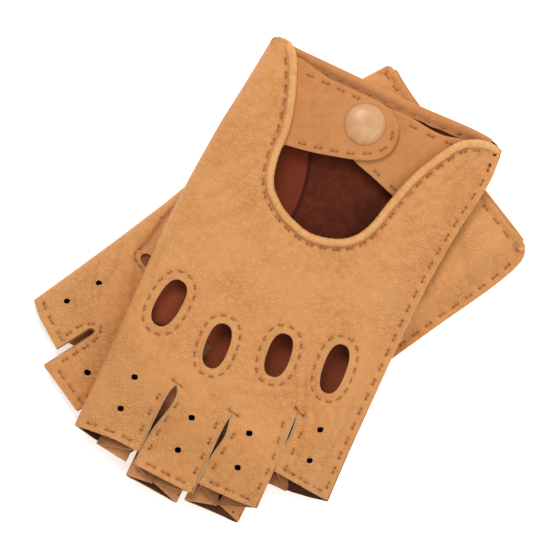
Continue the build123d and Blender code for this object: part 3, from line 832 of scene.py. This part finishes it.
def make_fourchette(glove, name):
    """A strip with a fold along it that joins the facing sides of two fingers."""
    index = list(back_slots).index(name)
    near, far = (glove.ends["back"][index][-1], glove.ends["back"][index + 1][0])
    low_near, low_far = (glove.ends["palm"][index][-1], glove.ends["palm"][index + 1][0])
    outline = np.array(back_slots[name][1:-1], float)
    inner_part = outline[outline[:, 1] > max(near[1], far[1]) + 3]
    upper = np.vstack([[(back_slots[name][0][0], near[1] + 0.3)], inner_part,
                       [(back_slots[name][-1][0], far[1] + 0.3)]])
    x, y = palm_slots[name]
    half = palm_slot_half
    lower = np.array([(x - half, low_near[1] + 0.3), (x - half, y * 0.6), (x - half, y - half), (x, y),
                      (x + half, y - half), (x + half, y * 0.6), (x + half, low_far[1] + 0.3)])
    count = 61

    def resample(line):
        line = smooth_line(line, 0.4)
        run = run_along(line)
        peak = run[int(np.argmax(line[:, 1]))]
        each = count // 2 + 1
        at = np.concatenate([np.linspace(0, peak, each), np.linspace(peak, run[-1], each)[1:]])
        return np.column_stack([np.interp(at, run, line[:, 0]), np.interp(at, run, line[:, 1])])

    upper, lower = resample(upper), resample(lower)
    along = np.linspace(-1, 1, count)
    half_way = (upper + lower) / 2
    tips = np.array(fourchette_tips[name], float)
    if glove.side == "right" and index == 0:
        tips[0] = (-31.8, 1.0)
    reach = np.where(along[:, None] < 0, tips[0] - half_way[0], tips[1] - half_way[-1])
    pull = (0.12 + 0.88 * smoothstep(np.abs(along)))[:, None]
    fold = half_way + reach * pull
    side = np.sign(along)[:, None] * (1, 0)
    top = surface(glove, "back", upper, dressed=False)[0] - leather - 0.1 + 0.3 * finger_crown(upper)
    low = surface(glove, "palm", lower, dressed=False)[0] + leather + 0.2
    rows = [np.column_stack([upper - side * 0.7, top + 0.4])]
    for share, drop in ((0.0, 0.08), (0.2, 0.36), (0.45, 0.5), (0.72, 0.6), (0.92, 0.7), (1.0, 0.8)):
        wave = 0.35 * np.sin(along * 11 + index * 2)[:, None] * share * (1, 0)
        rows.append(np.column_stack([upper + (fold - upper) * share + wave, top + (low - top) * drop / 1.6]))
    for share, rise in ((0.92, 0.7), (0.72, 0.55), (0.45, 0.4), (0.2, 0.25), (0.0, 0.0)):
        rows.append(np.column_stack([lower + (fold - lower) * share, low + (top - low) * rise / 1.6]))
    rows.append(np.column_stack([lower - side * 0.4, low]))
    corners = np.vstack(rows)
    wide = len(rows)
    faces = strip_faces(wide, count)
    plan = np.column_stack([np.tile(np.arange(count) * 1.1, wide) + 200 + 90 * index,
                            np.repeat(np.arange(wide) * 2.2, count)])
    shade = np.tile(0.35 * (1 - np.abs(along)), wide)
    return add_mesh(f"fourchette_{name}_leather", glove, [gusset, lining_suede, cut_edge],
                    *shell(corners, faces[:, ::-1], plan, shade, thick=0.7, bulge=0.15))


def make_piping(glove):
    """Rolled piping round the window, with fine wrinkles across it."""
    step = 0.55
    line = smooth_line(windows[glove.side], step)
    height = surface(glove, "back", line, dressed=False)[0] + glove.piping_rise
    sides = 14
    out = outward(line)
    run = np.arange(len(line))
    past, to_go = run * step, (run[-1] - run) * step
    height = height - 1.6 * bell(past, 2.6) - 1.0 * bell(to_go, 2.0)
    taper = 1 - 0.45 * bell(past, 1.6) - 0.25 * bell(to_go, 1.4)
    rings = []
    for s in range(sides):
        a = 2 * pi * s / sides
        gather = np.array([noise.noise(Vector((i * 0.75, 2.5 * cos(a), 2.5 * sin(a)))) for i in run])
        pull = taper * (1 + 0.08 * gather + 0.03 * np.sin(run * 2.3 + 2 * sin(a)))
        rings.append(np.column_stack([line + out * (piping_radius * cos(a) * pull)[:, None],
                                      height + glove.piping_height * sin(a) * pull]))
    corners = np.stack(rings, axis=1).reshape(-1, 3)
    count = len(line)
    faces = [[i * sides + s, i * sides + (s + 1) % sides, (i + 1) * sides + (s + 1) % sides,
              (i + 1) * sides + s] for i in range(count - 1) for s in range(sides)]
    faces += [[s for s in reversed(range(sides))], [(count - 1) * sides + s for s in range(sides)]]
    plan = np.column_stack([np.repeat(past, sides), np.tile(np.arange(sides) * 0.8, count)])
    return add_mesh("window_piping_roll", glove, [roll], corners, faces, plan, np.zeros(len(corners)),
                    sharp=70)


def tab_height(glove, points, depth):
    """Height of a tab's outer face, bowed a little and pressed in round the snap."""
    x, y = points.T
    base = glove.back(*glove.spot(x, y)) - depth
    bow = 0.45 * np.cos(np.clip((y - 154) / 16, -1, 1) * pi / 2) * smoothstep((x + 28) / 14)
    press = 0.35 * bell(np.hypot(x - snap_centre[0], y - snap_centre[1]), 10)
    return base + bow - press + 0.12 * ripple(points, 9, 60)


def make_tab(glove, name, edge, rows, depth, thick, materials, grow=0.0):
    """A sewn leather tab."""
    loop = smooth_line(edge, 1.0, closed=True)
    if grow:
        middle = loop.mean(0)
        reach = np.linalg.norm(loop - middle, axis=1)[:, None]
        loop = middle + (loop - middle) * (reach + grow) / reach
    rows = np.vstack(rows)
    points, faces = flat_sheet(loop, [], around_stitches(rows), 1.3)
    # dark is painted shade at the stitch holes
    pull, dark = dimples(points, rows)
    edge_gap = distance(points, loop, closed=True)
    height = tab_height(glove, points, depth) - pull * 0.8
    height += 0.1 * bell(edge_gap - 1.0, 0.8) - 0.15 * bell(edge_gap - 2.1, 0.7) - 0.2 * bell(edge_gap, 0.6)
    return add_mesh(name, glove, materials,
                    *shell(np.column_stack([points, height]), faces, points + 300, dark, thick, bulge=0.12))


def hem_height(glove, points):
    """Height of the palm's outer face just inside the wrist's edge."""
    edge_y = np.interp(points[:, 0], glove.wrist[:, 0], glove.wrist[:, 1])
    return surface(glove, "palm", np.column_stack([points[:, 0], edge_y - 1.0]))[0]


def make_hem(glove):
    """The palm's leather turned in at the wrist."""
    edge = glove.wrist[(glove.wrist[:, 0] > -45.5) & (glove.wrist[:, 0] < 50)]
    outer = hem_height(glove, edge)
    profile = [(0.4, 0.25), (-0.35, 0.35), (-0.8, 0.9), (-0.75, 1.8), (-0.2, 2.6), (0.7, 2.95), (1.7, 2.75),
               (2.6, 2.5), (3.4, 2.45), (4.2, 2.65), (4.8, 2.5), (5.0, 2.0), (4.8, 1.2)]
    rows = []
    for inward, rise in profile:
        wave = 0.22 * ripple(edge, 5, 70 + rise) * smoothstep(inward / 4)
        gather = 0.16 * np.sin(edge[:, 0] * 2 * pi / seam_pitch) * smoothstep(rise / 2)
        rows.append(np.column_stack([edge[:, 0], edge[:, 1] - inward - wave * 2,
                                     outer + rise + wave + gather]))
    corners = np.vstack(rows)
    count, wide = len(edge), len(profile)
    faces = strip_faces(wide, count)
    plan = np.column_stack([np.tile(edge[:, 0], wide), 230 + np.repeat(np.arange(wide) * 0.9, count)])
    shade = np.repeat([0, 0, 0, 0, 0, 0, 0.1, 0.45, 0.6, 0.25, 0.1, 0.2, 0.2], count)
    return add_mesh("wrist_hem_turning", glove, [strap_skin], corners, faces, plan, shade)


def join(pieces, name):
    """One object of several."""
    bpy.ops.object.select_all(action="DESELECT")
    for piece in pieces:
        piece.select_set(True)
    bpy.context.view_layer.objects.active = pieces[0]
    bpy.ops.object.join()
    pieces[0].name = name
    return pieces[0]


def make_thumb(glove):
    """Thumb stall lying in the palm: an outer leaf open at its mouth, and an inner leaf behind it."""
    points, faces = flat_sheet(thumb_loop, [thumb_mouth_loop])
    gap = distance(points, thumb_seam)
    base = surface(glove, "palm", points)[0]
    dent = thumb_dent(points)
    rise = rounded(gap, reach=5.0)
    flush = base - dent - 0.35 + 0.4 * ripple(points, 9, 80)
    seam = base - 0.1
    outer = seam + (flush - seam) * rise
    leaf = add_mesh("thumb_outer_leaf", glove, [skin, suede, cut_edge],
                    *shell(np.column_stack([points, outer]), faces[:, ::-1], points + 400,
                           bell(gap, 0.8) * 0.7, thick=0.8, bulge=0.2))
    inner_loop = np.vstack([[(-42.5, 43.5), (-16, 46.5)], thumb_seam])
    points, faces = flat_sheet(inner_loop, [], None, 2.0)
    gap = distance(points, inner_loop, closed=True)
    rise = rounded(gap, reach=4.0)
    base = surface(glove, "palm", points)[0] - thumb_dent(points)
    inner = add_mesh("thumb_inner_leaf", glove, [lining_suede, lining_suede, cut_edge],
                     *shell(np.column_stack([points, base + 1.0 + 0.9 * rise]), faces[:, ::-1], points + 500,
                            0.2 * rise, thick=0.8, bulge=0.2))
    return join([leaf, inner], f"{glove.side}_thumb_stall")


def make_stitches(glove, name, groups, height):
    """Short thread bars that dip into the leather at both ends."""
    rows = np.vstack(groups)
    bend = np.linspace(-1, 1, 7)
    sides = 7
    corners, faces, plan, dark = [], [], [], []
    heights, up = height(rows[:, :2])
    for k, (x, y, heading, length) in enumerate(rows):
        half = length / 2 * (1 + 0.12 * sin(k * 2.3)) + 0.15
        heading += 0.16 * sin(k * 1.7)
        start = len(corners)
        for i, t in enumerate(bend):
            radius = thread_radius * (1 - 0.55 * t * t)
            for s in range(sides):
                a = 2 * pi * s / sides
                along, across = t * half, radius * cos(a) * 1.05
                rise = radius * sin(a) * 0.8 - 0.12 - 0.55 * t ** 4
                corners.append((x + along * cos(heading) - across * sin(heading),
                                y + along * sin(heading) + across * cos(heading),
                                heights[k] + up * rise))
                plan.append((k * 5 + along, s * 0.4))
                # Painted shade towards the ends, where the thread dips into its holes
                dark.append(t * t)
        last = len(bend) - 1
        for i in range(last):
            for s in range(sides):
                a, b = start + i * sides, start + (i + 1) * sides
                faces.append([a + s, b + s, b + (s + 1) % sides, a + (s + 1) % sides])
        faces.append([start + s for s in range(sides)])
        faces.append([start + last * sides + s for s in reversed(range(sides))])
    if up > 0:
        faces = [f[::-1] for f in faces]
    return add_mesh(f"{name}_stitches", glove, [thread_brown], np.array(corners), faces,
                    np.array(plan), np.array(dark), sharp=80)


def make_cap(glove):
    """Domed snap cap with a rolled rim."""
    profile = [(0.0, 3.1), (1.5, 3.06), (3.0, 2.92), (4.4, 2.68), (5.6, 2.36), (6.6, 1.96), (7.4, 1.5),
               (7.95, 1.02), (8.28, 0.56), (8.35, 0.2), (8.2, -0.05), (7.6, -0.2), (6.8, -0.15)]
    turns = 64
    x0, y0 = snap_centre
    base = float(glove.back(*glove.spot(np.array(x0), np.array(y0)))) - glove.strap_depth
    corners, plan = [(x0, y0, base + profile[0][1])], [(0, 0)]
    for radius, rise in profile[1:]:
        for k in range(turns):
            a = 2 * pi * k / turns
            corners.append((x0 + radius * cos(a), y0 + radius * sin(a), base + rise))
            plan.append((radius * cos(a), radius * sin(a)))
    faces = [[0, 1 + k, 1 + (k + 1) % turns] for k in range(turns)]
    for r in range(len(profile) - 2):
        a, b = 1 + r * turns, 1 + (r + 1) * turns
        faces += [[a + k, b + k, b + (k + 1) % turns, a + (k + 1) % turns] for k in range(turns)]
    return add_mesh("snap_cap_dome", glove, [cap_paint], np.array(corners), faces,
                    np.array(plan), sharp=80)


# Materials

class Paint:
    """A node material under construction."""

    def __init__(self, name, **values):
        self.material = bpy.data.materials.new(name)
        self.material.use_nodes = True
        self.tree = self.material.node_tree
        self.shader = self.tree.nodes["Principled BSDF"]
        for socket, value in values.items():
            self.shader.inputs[socket.replace("_", " ")].default_value = value

    def node(self, kind, inputs=None, **settings):
        made = self.tree.nodes.new("ShaderNode" + kind)
        for key, value in settings.items():
            setattr(made, key, value)
        for key, value in (inputs or {}).items():
            if isinstance(value, bpy.types.NodeSocket):
                self.tree.links.new(value, made.inputs[key])
            else:
                made.inputs[key].default_value = value
        return made

    def plan(self):
        return self.node("UVMap", uv_map="plan").outputs[0]

    def noise(self, where, scale, detail=3.0, roughness=0.55, distortion=0.0):
        return self.node("TexNoise", {"Vector": where, "Scale": scale, "Detail": detail,
                                      "Roughness": roughness, "Distortion": distortion}).outputs[0]

    def math(self, operation, a, b=0.0, c=0.0):
        return self.node("Math", {0: a, 1: b, 2: c}, operation=operation).outputs[0]

    def times(self, a, b):
        return self.math("MULTIPLY", a, b)

    def add(self, base, share, more):
        """The base plus a share of more."""
        return self.math("MULTIPLY_ADD", more, share, base)

    def cells(self, where, scale, feature="DISTANCE_TO_EDGE", **values):
        """A pattern of uneven cells: the distance from their edges, or from their middles for SMOOTH_F1."""
        values = {"Vector": where, "Scale": scale, **values}
        return self.node("TexVoronoi", values, feature=feature).outputs[0]

    def drawn(self, where, across, along, turn=0.0):
        """Turned coordinates that stretch a pattern where a scale is under 1."""
        return self.node("Mapping", {"Vector": where, "Rotation": (0, 0, turn),
                                     "Scale": (across, along, 1.0)}).outputs[0]

    def ramp(self, value, low, high, to_low=0.0, to_high=1.0):
        return self.node("MapRange", {"Value": value, "From Min": low, "From Max": high, "To Min": to_low,
                                      "To Max": to_high}, interpolation_type="SMOOTHSTEP").outputs[0]

    def mix(self, share, a, b):
        made = self.node("Mix", data_type="RGBA")
        for socket, value in zip((made.inputs["Factor"], made.inputs[6], made.inputs[7]), (share, a, b)):
            if isinstance(value, bpy.types.NodeSocket):
                self.tree.links.new(value, socket)
            else:
                socket.default_value = value
        return made.outputs[2]

    def attribute(self, name):
        return self.node("Attribute", attribute_name=name).outputs["Fac"]

    def finish(self, colour, roughness=None, bump=None, depth=0.0002, strength=1.0):
        self.tree.links.new(colour, self.shader.inputs["Base Color"])
        if roughness is not None:
            self.tree.links.new(roughness, self.shader.inputs["Roughness"])
        if bump is not None:
            made = self.node("Bump", {"Height": bump, "Distance": depth, "Strength": strength})
            self.tree.links.new(made.outputs[0], self.shader.inputs["Normal"])
        return self.material


def rgb(red, green, blue):
    """An sRGB colour, 0 to 255, as the linear one that a shader takes."""
    return tuple((c / 255 / 12.92) if c <= 10 else ((c / 255 + 0.055) / 1.055) ** 2.4
                 for c in (red, green, blue)) + (1.0,)


def scaled(colour, *shares):
    """A colour with each channel scaled."""
    return tuple(c * share for c, share in zip(colour, shares)) + (1.0,)


def leather_paint(name, light, dark, grain=1.0, pebbles=1.0, gathered=False):
    """Full-grain leather: pebbles, fine creases, uneven dye and crackled patches where it is worked most,
    with painted shade in the grain's valleys, creases, cracks and gathers, and a darker reddish brown
    painted as shade round the stitches and in creases and folds."""
    p = Paint(name, Specular_IOR_Level=0.42)
    where = p.plan()
    warp = p.node("TexNoise", {"Vector": where, "Scale": 22.0, "Detail": 2.0}).outputs[1]
    shift = p.node("VectorMath", {0: warp, 3: 0.02}, operation="SCALE").outputs[0]
    bent = p.node("VectorMath", {0: where, 1: shift}, operation="ADD").outputs[0]
    tinted = scaled(light, 1.06, 1.07, 1.1)
    # deep: the darker tone painted as shade in the grain's valleys, creases, cracks and gathers
    deep = scaled(dark, 0.72, 0.55, 0.42)

    pebble = p.ramp(p.cells(bent, 62.0), 0.0, 0.28)
    small = p.ramp(p.cells(bent, 130.0), 0.0, 0.35)
    fine = p.noise(where, 420.0, 3.0)
    lines = p.noise(p.drawn(bent, 0.55, 1.3, 0.35), 55.0, 3.0, 0.6, 0.3)
    crease = p.ramp(p.math("ABSOLUTE", p.math("SUBTRACT", lines, 0.5)), 0.0, 0.035)
    patch = p.ramp(p.noise(where, 5.0, 2.0), 0.4, 0.62)
    coarse = p.times(pebble, p.ramp(patch, 0.0, 1.0, 0.25, 1.0))
    height = p.add(p.times(small, 0.3), 0.8 * pebbles, coarse)
    height = p.add(height, 0.06, fine)
    height = p.add(height, 0.15, crease)

    colour = p.mix(p.ramp(p.noise(where, 3.2, 4.0, 0.6, 0.4), 0.3, 0.7), dark, light)
    mottled = p.ramp(p.noise(where, 16.0, 4.0), 0.35, 0.7)
    colour = p.mix(p.times(mottled, 0.4), colour, tinted)
    blobs = p.cells(bent, 40.0, "SMOOTH_F1", Smoothness=0.8)
    colour = p.mix(p.ramp(blobs, 0.15, 0.75, 0.7, 0.0), colour, tinted)
    # Painted shade in the valleys between the pebbles
    valley_shade = p.times(p.ramp(pebble, 0.0, 0.8, 1.0, 0.0),
                     p.ramp(patch, 0.0, 1.0, 0.06 * pebbles, 0.15 * pebbles))
    colour = p.mix(valley_shade, colour, deep)
    # Painted shade in the fine creases
    colour = p.mix(p.ramp(crease, 0.0, 1.0, 0.06, 0.0), colour, deep)

    crackle = p.ramp(p.cells(p.drawn(bent, 0.75, 1.25, 0.5), 32.0), 0.0, 0.13, 1.0, 0.0)
    worked = p.times(p.ramp(p.noise(where, 2.6, 2.0, 0.6, 0.5), 0.42, 0.66), crackle)
    # Painted shade in the cracks of the worked patches
    colour = p.mix(p.times(worked, 0.17 * pebbles), colour, deep)
    height = p.add(height, -0.6 * pebbles, worked)
    if gathered:
        gathers = p.ramp(p.noise(p.drawn(where, 1.0, 0.12), 150.0, 3.0, 0.6, 0.4), 0.34, 0.52)
        # Painted shade in the folds of the gathers
        colour = p.mix(p.ramp(gathers, 0.0, 1.0, 0.14, 0.0), colour, deep)
        height = p.add(height, 0.55, gathers)
    # Painted shade from the mesh's shade attribute: darker reddish brown at the stitch holes, in creases and
    # in folds
    colour = p.mix(p.times(p.attribute("shade"), 0.8), colour, rgb(118, 60, 26))
    return p.finish(colour, p.ramp(height, 0.2, 1.5, 0.62, 0.44), height, 0.00025 * grain, 0.85)


def suede_paint(name, light, dark, pieced=False):
    """The fleshy side of the leather, with a short nap. The hand's is pieced: redder beyond a curved
    seam on the palm and by the knuckles, and browner in the fingers."""
    p = Paint(name, Specular_IOR_Level=0.15, Sheen_Weight=0.12, Sheen_Roughness=0.5)
    where = p.plan()
    nap = p.noise(where, 260.0, 4.0, 0.7)
    brushed = p.noise(where, 14.0, 5.0, 0.65, 1.2)
    colour = p.mix(p.ramp(brushed, 0.32, 0.68), dark, light)
    if pieced:
        x, y, _ = p.node("SeparateXYZ", {0: where}).outputs
        from_low = p.math("SUBTRACT", y, 1.13)
        bow = p.times(p.times(from_low, from_low), 1.02)
        past_seam = p.math("SUBTRACT", p.math("SUBTRACT", x, bow), -0.988)
        colour = p.mix(p.ramp(past_seam, -0.002, 0.002), colour, rgb(132, 56, 32))
        colour = p.mix(p.ramp(p.math("ABSOLUTE", past_seam), 0.003, 0.011, 0.75, 0.0), colour, rgb(40, 16, 8))
        colour = p.mix(p.ramp(y, 0.1, 0.3, 0.8, 0.0), colour, rgb(84, 50, 30))
        by_knuckles = p.times(p.ramp(y, 0.3, 0.45), p.ramp(y, 0.85, 1.0, 1.0, 0.0))
        colour = p.mix(p.times(by_knuckles, 0.8), colour, rgb(184, 92, 56))
    colour = p.mix(p.ramp(nap, 0.35, 0.7, 0.35, 0.0), colour, scaled(dark, 0.5, 0.5, 0.5))
    return p.finish(colour, p.ramp(nap, 0.0, 1.0, 0.98, 0.86), p.add(nap, 0.6, brushed), 0.0003, 0.8)


def edge_paint():
    """A cut edge, paler than the face, with fibres."""
    p = Paint("cut_edge", Specular_IOR_Level=0.25)
    where = p.plan()
    fibre = p.noise(where, 300.0, 4.0, 0.7)
    broad = p.noise(where, 20.0, 3.0)
    colour = p.mix(p.ramp(broad, 0.3, 0.7), rgb(214, 166, 112), rgb(240, 204, 156))
    colour = p.mix(p.ramp(fibre, 0.35, 0.7, 0.45, 0.0), colour, rgb(150, 92, 48))
    return p.finish(colour, p.ramp(fibre, 0.0, 1.0, 0.95, 0.75), fibre, 0.0002, 0.8)


def thread_paint():
    """Waxed thread with a twist."""
    p = Paint("waxed_thread", Specular_IOR_Level=0.4)
    where = p.plan()
    twist = p.node("TexWave", {"Vector": where, "Scale": 42.0, "Distortion": 1.0, "Detail": 1.0},
                   bands_direction="DIAGONAL").outputs[1]
    worn = p.noise(where, 12.0, 3.0)
    colour = p.mix(p.ramp(worn, 0.3, 0.7), rgb(184, 112, 62), rgb(206, 134, 78))
    colour = p.mix(p.ramp(twist, 0.2, 0.8, 0.45, 0.0), colour, rgb(122, 62, 28))
    # Painted shade at the ends, where the thread dips into the leather
    colour = p.mix(p.ramp(p.attribute("shade"), 0.1, 0.7, 0.0, 0.9), colour, rgb(92, 42, 18))
    return p.finish(colour, p.ramp(worn, 0.0, 1.0, 0.75, 0.5), twist, 0.0001, 0.8)


def cap_enamel():
    """Enamelled snap cap with fine brushed strokes under the lacquer."""
    p = Paint("snap_cap_enamel", Specular_IOR_Level=0.5, Coat_Weight=0.25, Coat_Roughness=0.25)
    where = p.plan()
    grain = p.noise(p.drawn(where, 1.0, 0.12), 130.0, 4.0, 0.6, 0.3)
    blotch = p.noise(where, 14.0, 3.0)
    colour = p.mix(p.ramp(blotch, 0.3, 0.7), rgb(206, 152, 102), rgb(220, 168, 118))
    colour = p.mix(p.ramp(grain, 0.35, 0.65, 0.3, 0.0), colour, rgb(184, 126, 76))
    return p.finish(colour, p.ramp(grain, 0.0, 1.0, 0.5, 0.36), grain, 0.00006, 0.6)


def metal_paint():
    """Pressed brass of the snap's inner pieces."""
    p = Paint("snap_brass", Metallic=1.0)
    where = p.node("TexCoord").outputs["Object"]
    scuffs = p.noise(where, 2600.0, 4.0, 0.65)
    stain = p.noise(where, 260.0, 4.0, 0.6)
    colour = p.mix(p.ramp(stain, 0.35, 0.7), rgb(168, 128, 66), rgb(214, 178, 104))
    colour = p.mix(p.ramp(scuffs, 0.5, 0.75, 0.0, 0.35), colour, rgb(110, 78, 38))
    return p.finish(colour, p.ramp(scuffs, 0.3, 0.7, 0.24, 0.5), scuffs, 0.00004, 0.5)


def floor_paint():
    """Pale, softly lit table top."""
    p = Paint("pale_floor", Roughness=0.9, Specular_IOR_Level=0.1, Emission_Color=(1, 1, 1, 1),
              Emission_Strength=0.5)
    where = p.node("TexCoord").outputs["Object"]
    tone = p.noise(where, 3.0, 2.0)
    return p.finish(p.mix(tone, rgb(247, 247, 247), rgb(250, 250, 250)))


skin = leather_paint("glove_leather", rgb(216, 152, 89), rgb(207, 135, 69))
gusset = leather_paint("fourchette_leather", rgb(204, 140, 86), rgb(180, 116, 66), 0.6, 0.5)
roll = leather_paint("piping_leather", rgb(228, 168, 104), rgb(214, 146, 80), 0.7, 0.2, True)
strap_skin = leather_paint("strap_leather", rgb(199, 131, 71), rgb(189, 120, 60), 0.5, 0.2)
suede = suede_paint("inner_suede", rgb(112, 48, 26), rgb(86, 34, 18), True)
lining_suede = suede_paint("lining_suede", rgb(178, 118, 74), rgb(146, 92, 54))
cut_edge = edge_paint()
thread_brown = thread_paint()
cap_paint = cap_enamel()
brass = metal_paint()


# Build both gloves

def on_layer(glove, layer):
    """Where stitches sit on the back (up 1) or the palm (up -1)."""
    sign = facing[layer]
    return lambda points: (surface(glove, layer, points)[0], sign)


def across_hinge(glove, piece):
    """Bakes a piece of the strap's placement into its mesh. The ends of the hinge line at its root are worked
    out, but not used.
    """
    x, y = np.array([hinge_low, hinge_high], float).T
    x, y = glove.spot(x, y)
    low, high = np.array([x[0], y[0]]), np.array([x[1], y[1]])
    along = (high - low) / np.linalg.norm(high - low)
    normal = np.array([along[1], -along[0]])
    middle = (low + high) / 2
    height = float(glove.back(*middle)) - glove.strap_depth
    ends = np.array([[*(middle - 4.0 * normal), height], [*(middle + 6.0 * normal), height]])
    start, end = glove.place(ends)
    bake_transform(piece)


def build(glove):
    """All the pieces of one glove."""
    side, hand, strap = glove.side, f"{glove.side}_hand", f"{glove.side}_strap"

    def on_hand(piece, slot, *nodes):
        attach(piece, hand)
        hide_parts(*[f"{side}_{node}" for node in nodes])

    on_hand(make_trank(glove), "glove_leather", "trank")
    on_hand(make_hem(glove), "glove_leather")
    on_hand(make_thumb(glove), "glove_leather", "thumb")
    for name in back_slots:
        on_hand(make_fourchette(glove, name), "fourchette_leather", f"fourchette_{name}")
    on_hand(make_piping(glove), "piping", "window_piping")

    under = glove.strap_depth + leather + lining + snap_clear
    on_hand(make_tab(glove, "underlap_tab_leather", underlap_edge, underlap_rows, under, leather,
                     [strap_skin, suede, cut_edge]), "glove_leather", "underlap_tab")
    on_hand(make_tab(glove, "underlap_lining_suede", underlap_edge, underlap_rows,
                     under + leather + lining_gap, lining, [lining_suede, lining_suede, cut_edge], -1.0),
            "strap_lining", "underlap_lining")
    tab = make_tab(glove, "overlap_tab_leather", tab_edge, tab_rows, glove.strap_depth, leather,
                   [strap_skin, suede, cut_edge])
    across_hinge(glove, tab)
    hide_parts(f"{side}_overlap_tab", f"{side}_strap_root")
    lining_piece = make_tab(glove, "overlap_lining_suede", tab_edge, tab_rows,
                            glove.strap_depth + leather + lining_gap, lining,
                            [lining_suede, lining_suede, cut_edge], -1.0)
    across_hinge(glove, lining_piece)
    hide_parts(f"{side}_overlap_lining")

    cap = make_cap(glove)
    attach(cap, strap)
    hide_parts(f"{side}_snap_cap")

    for name in ("side_seam_thread", "finger_thread", "knuckle_thread", "window_thread", "wrist_hem_thread"):
        parts = []
        for layer, groups in glove.rows.items():
            if name in groups:
                parts.append(make_stitches(glove, f"{name}_{layer}", groups[name], on_layer(glove, layer)))
        if name == "wrist_hem_thread":
            parts.append(make_stitches(glove, name + "_inner", glove.rows["palm"][name],
                                       lambda points: (hem_height(glove, points) + 2.9, 1)))
        on_hand(join(parts, f"{side}_{name}_stitches"), "thread", name)
    strap_stitches = make_stitches(glove, "strap_thread", tab_rows,
                                   lambda points: (tab_height(glove, points, glove.strap_depth), 1))
    across_hinge(glove, strap_stitches)
    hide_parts(f"{side}_strap_thread")
    on_hand(make_stitches(glove, "underlap_thread", underlap_rows,
                          lambda points: (tab_height(glove, points, under), 1)),
            "thread", "underlap_thread")
    for node in ("snap_socket", "snap_stud", "snap_post"):
        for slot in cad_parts[f"{side}_{node}"].material_slots:
            slot.material = brass


for glove in gloves:
    build(glove)


# Floor, light and camera

def make_floor():
    """The table, just under the gloves."""
    mesh = bpy.data.meshes.new("floor")
    reach, level = 3.0, -0.0003
    around = [(-1, -1), (1, -1), (1, 1), (-1, 1)]
    mesh.from_pydata([(x * reach, y * reach, level) for x, y in around], [], [(0, 1, 2, 3)])
    mesh.materials.append(floor_paint())
    floor = linked("floor", mesh)


def make_light(name, place, size, power, target):
    """A round lamp turned to its target."""
    data = bpy.data.lights.new(name, "AREA")
    data.shape = "DISK"
    data.size = size
    data.energy = power
    lamp = linked(name, data)
    lamp.location = place
    lamp.rotation_euler = (Vector(target) - Vector(place)).to_track_quat("-Z", "Y").to_euler()


view_turn = radians(26.0)
view_right = Vector((cos(view_turn), sin(view_turn), 0))
view_up = Vector((-sin(view_turn), cos(view_turn), 0))
frame_width = 0.220
lens = 600.0
sensor = 36.0

make_floor()
centre = Vector((-0.0012, 0.0015, 0))
key_place = centre - view_right * 0.1 + view_up * 0.6 + Vector((0, 0, 0.95))
fill_place = centre + view_right * 0.7 - view_up * 0.2 + Vector((0, 0, 1.0))
make_light("key_light", key_place, size=0.5, power=5.3, target=centre)
make_light("fill_light", fill_place, size=1.2, power=5.0, target=centre)
world = bpy.data.worlds.new("studio")
world.use_nodes = True
colour, strength = world.node_tree.nodes["Background"].inputs[:2]
colour.default_value = (1, 1, 1, 1)
strength.default_value = 0.5
bpy.context.scene.world = world
bpy.context.scene.view_settings.view_transform = "Standard"

camera_data = bpy.data.cameras.new("camera")
camera_data.lens = lens
camera_data.sensor_width = sensor
camera_data.clip_end = 20
camera = linked("camera", camera_data)
camera.location = centre + Vector((0, 0, frame_width * lens / sensor + 0.012))
camera.rotation_euler = (0, 0, view_turn)
bpy.context.scene.camera = camera
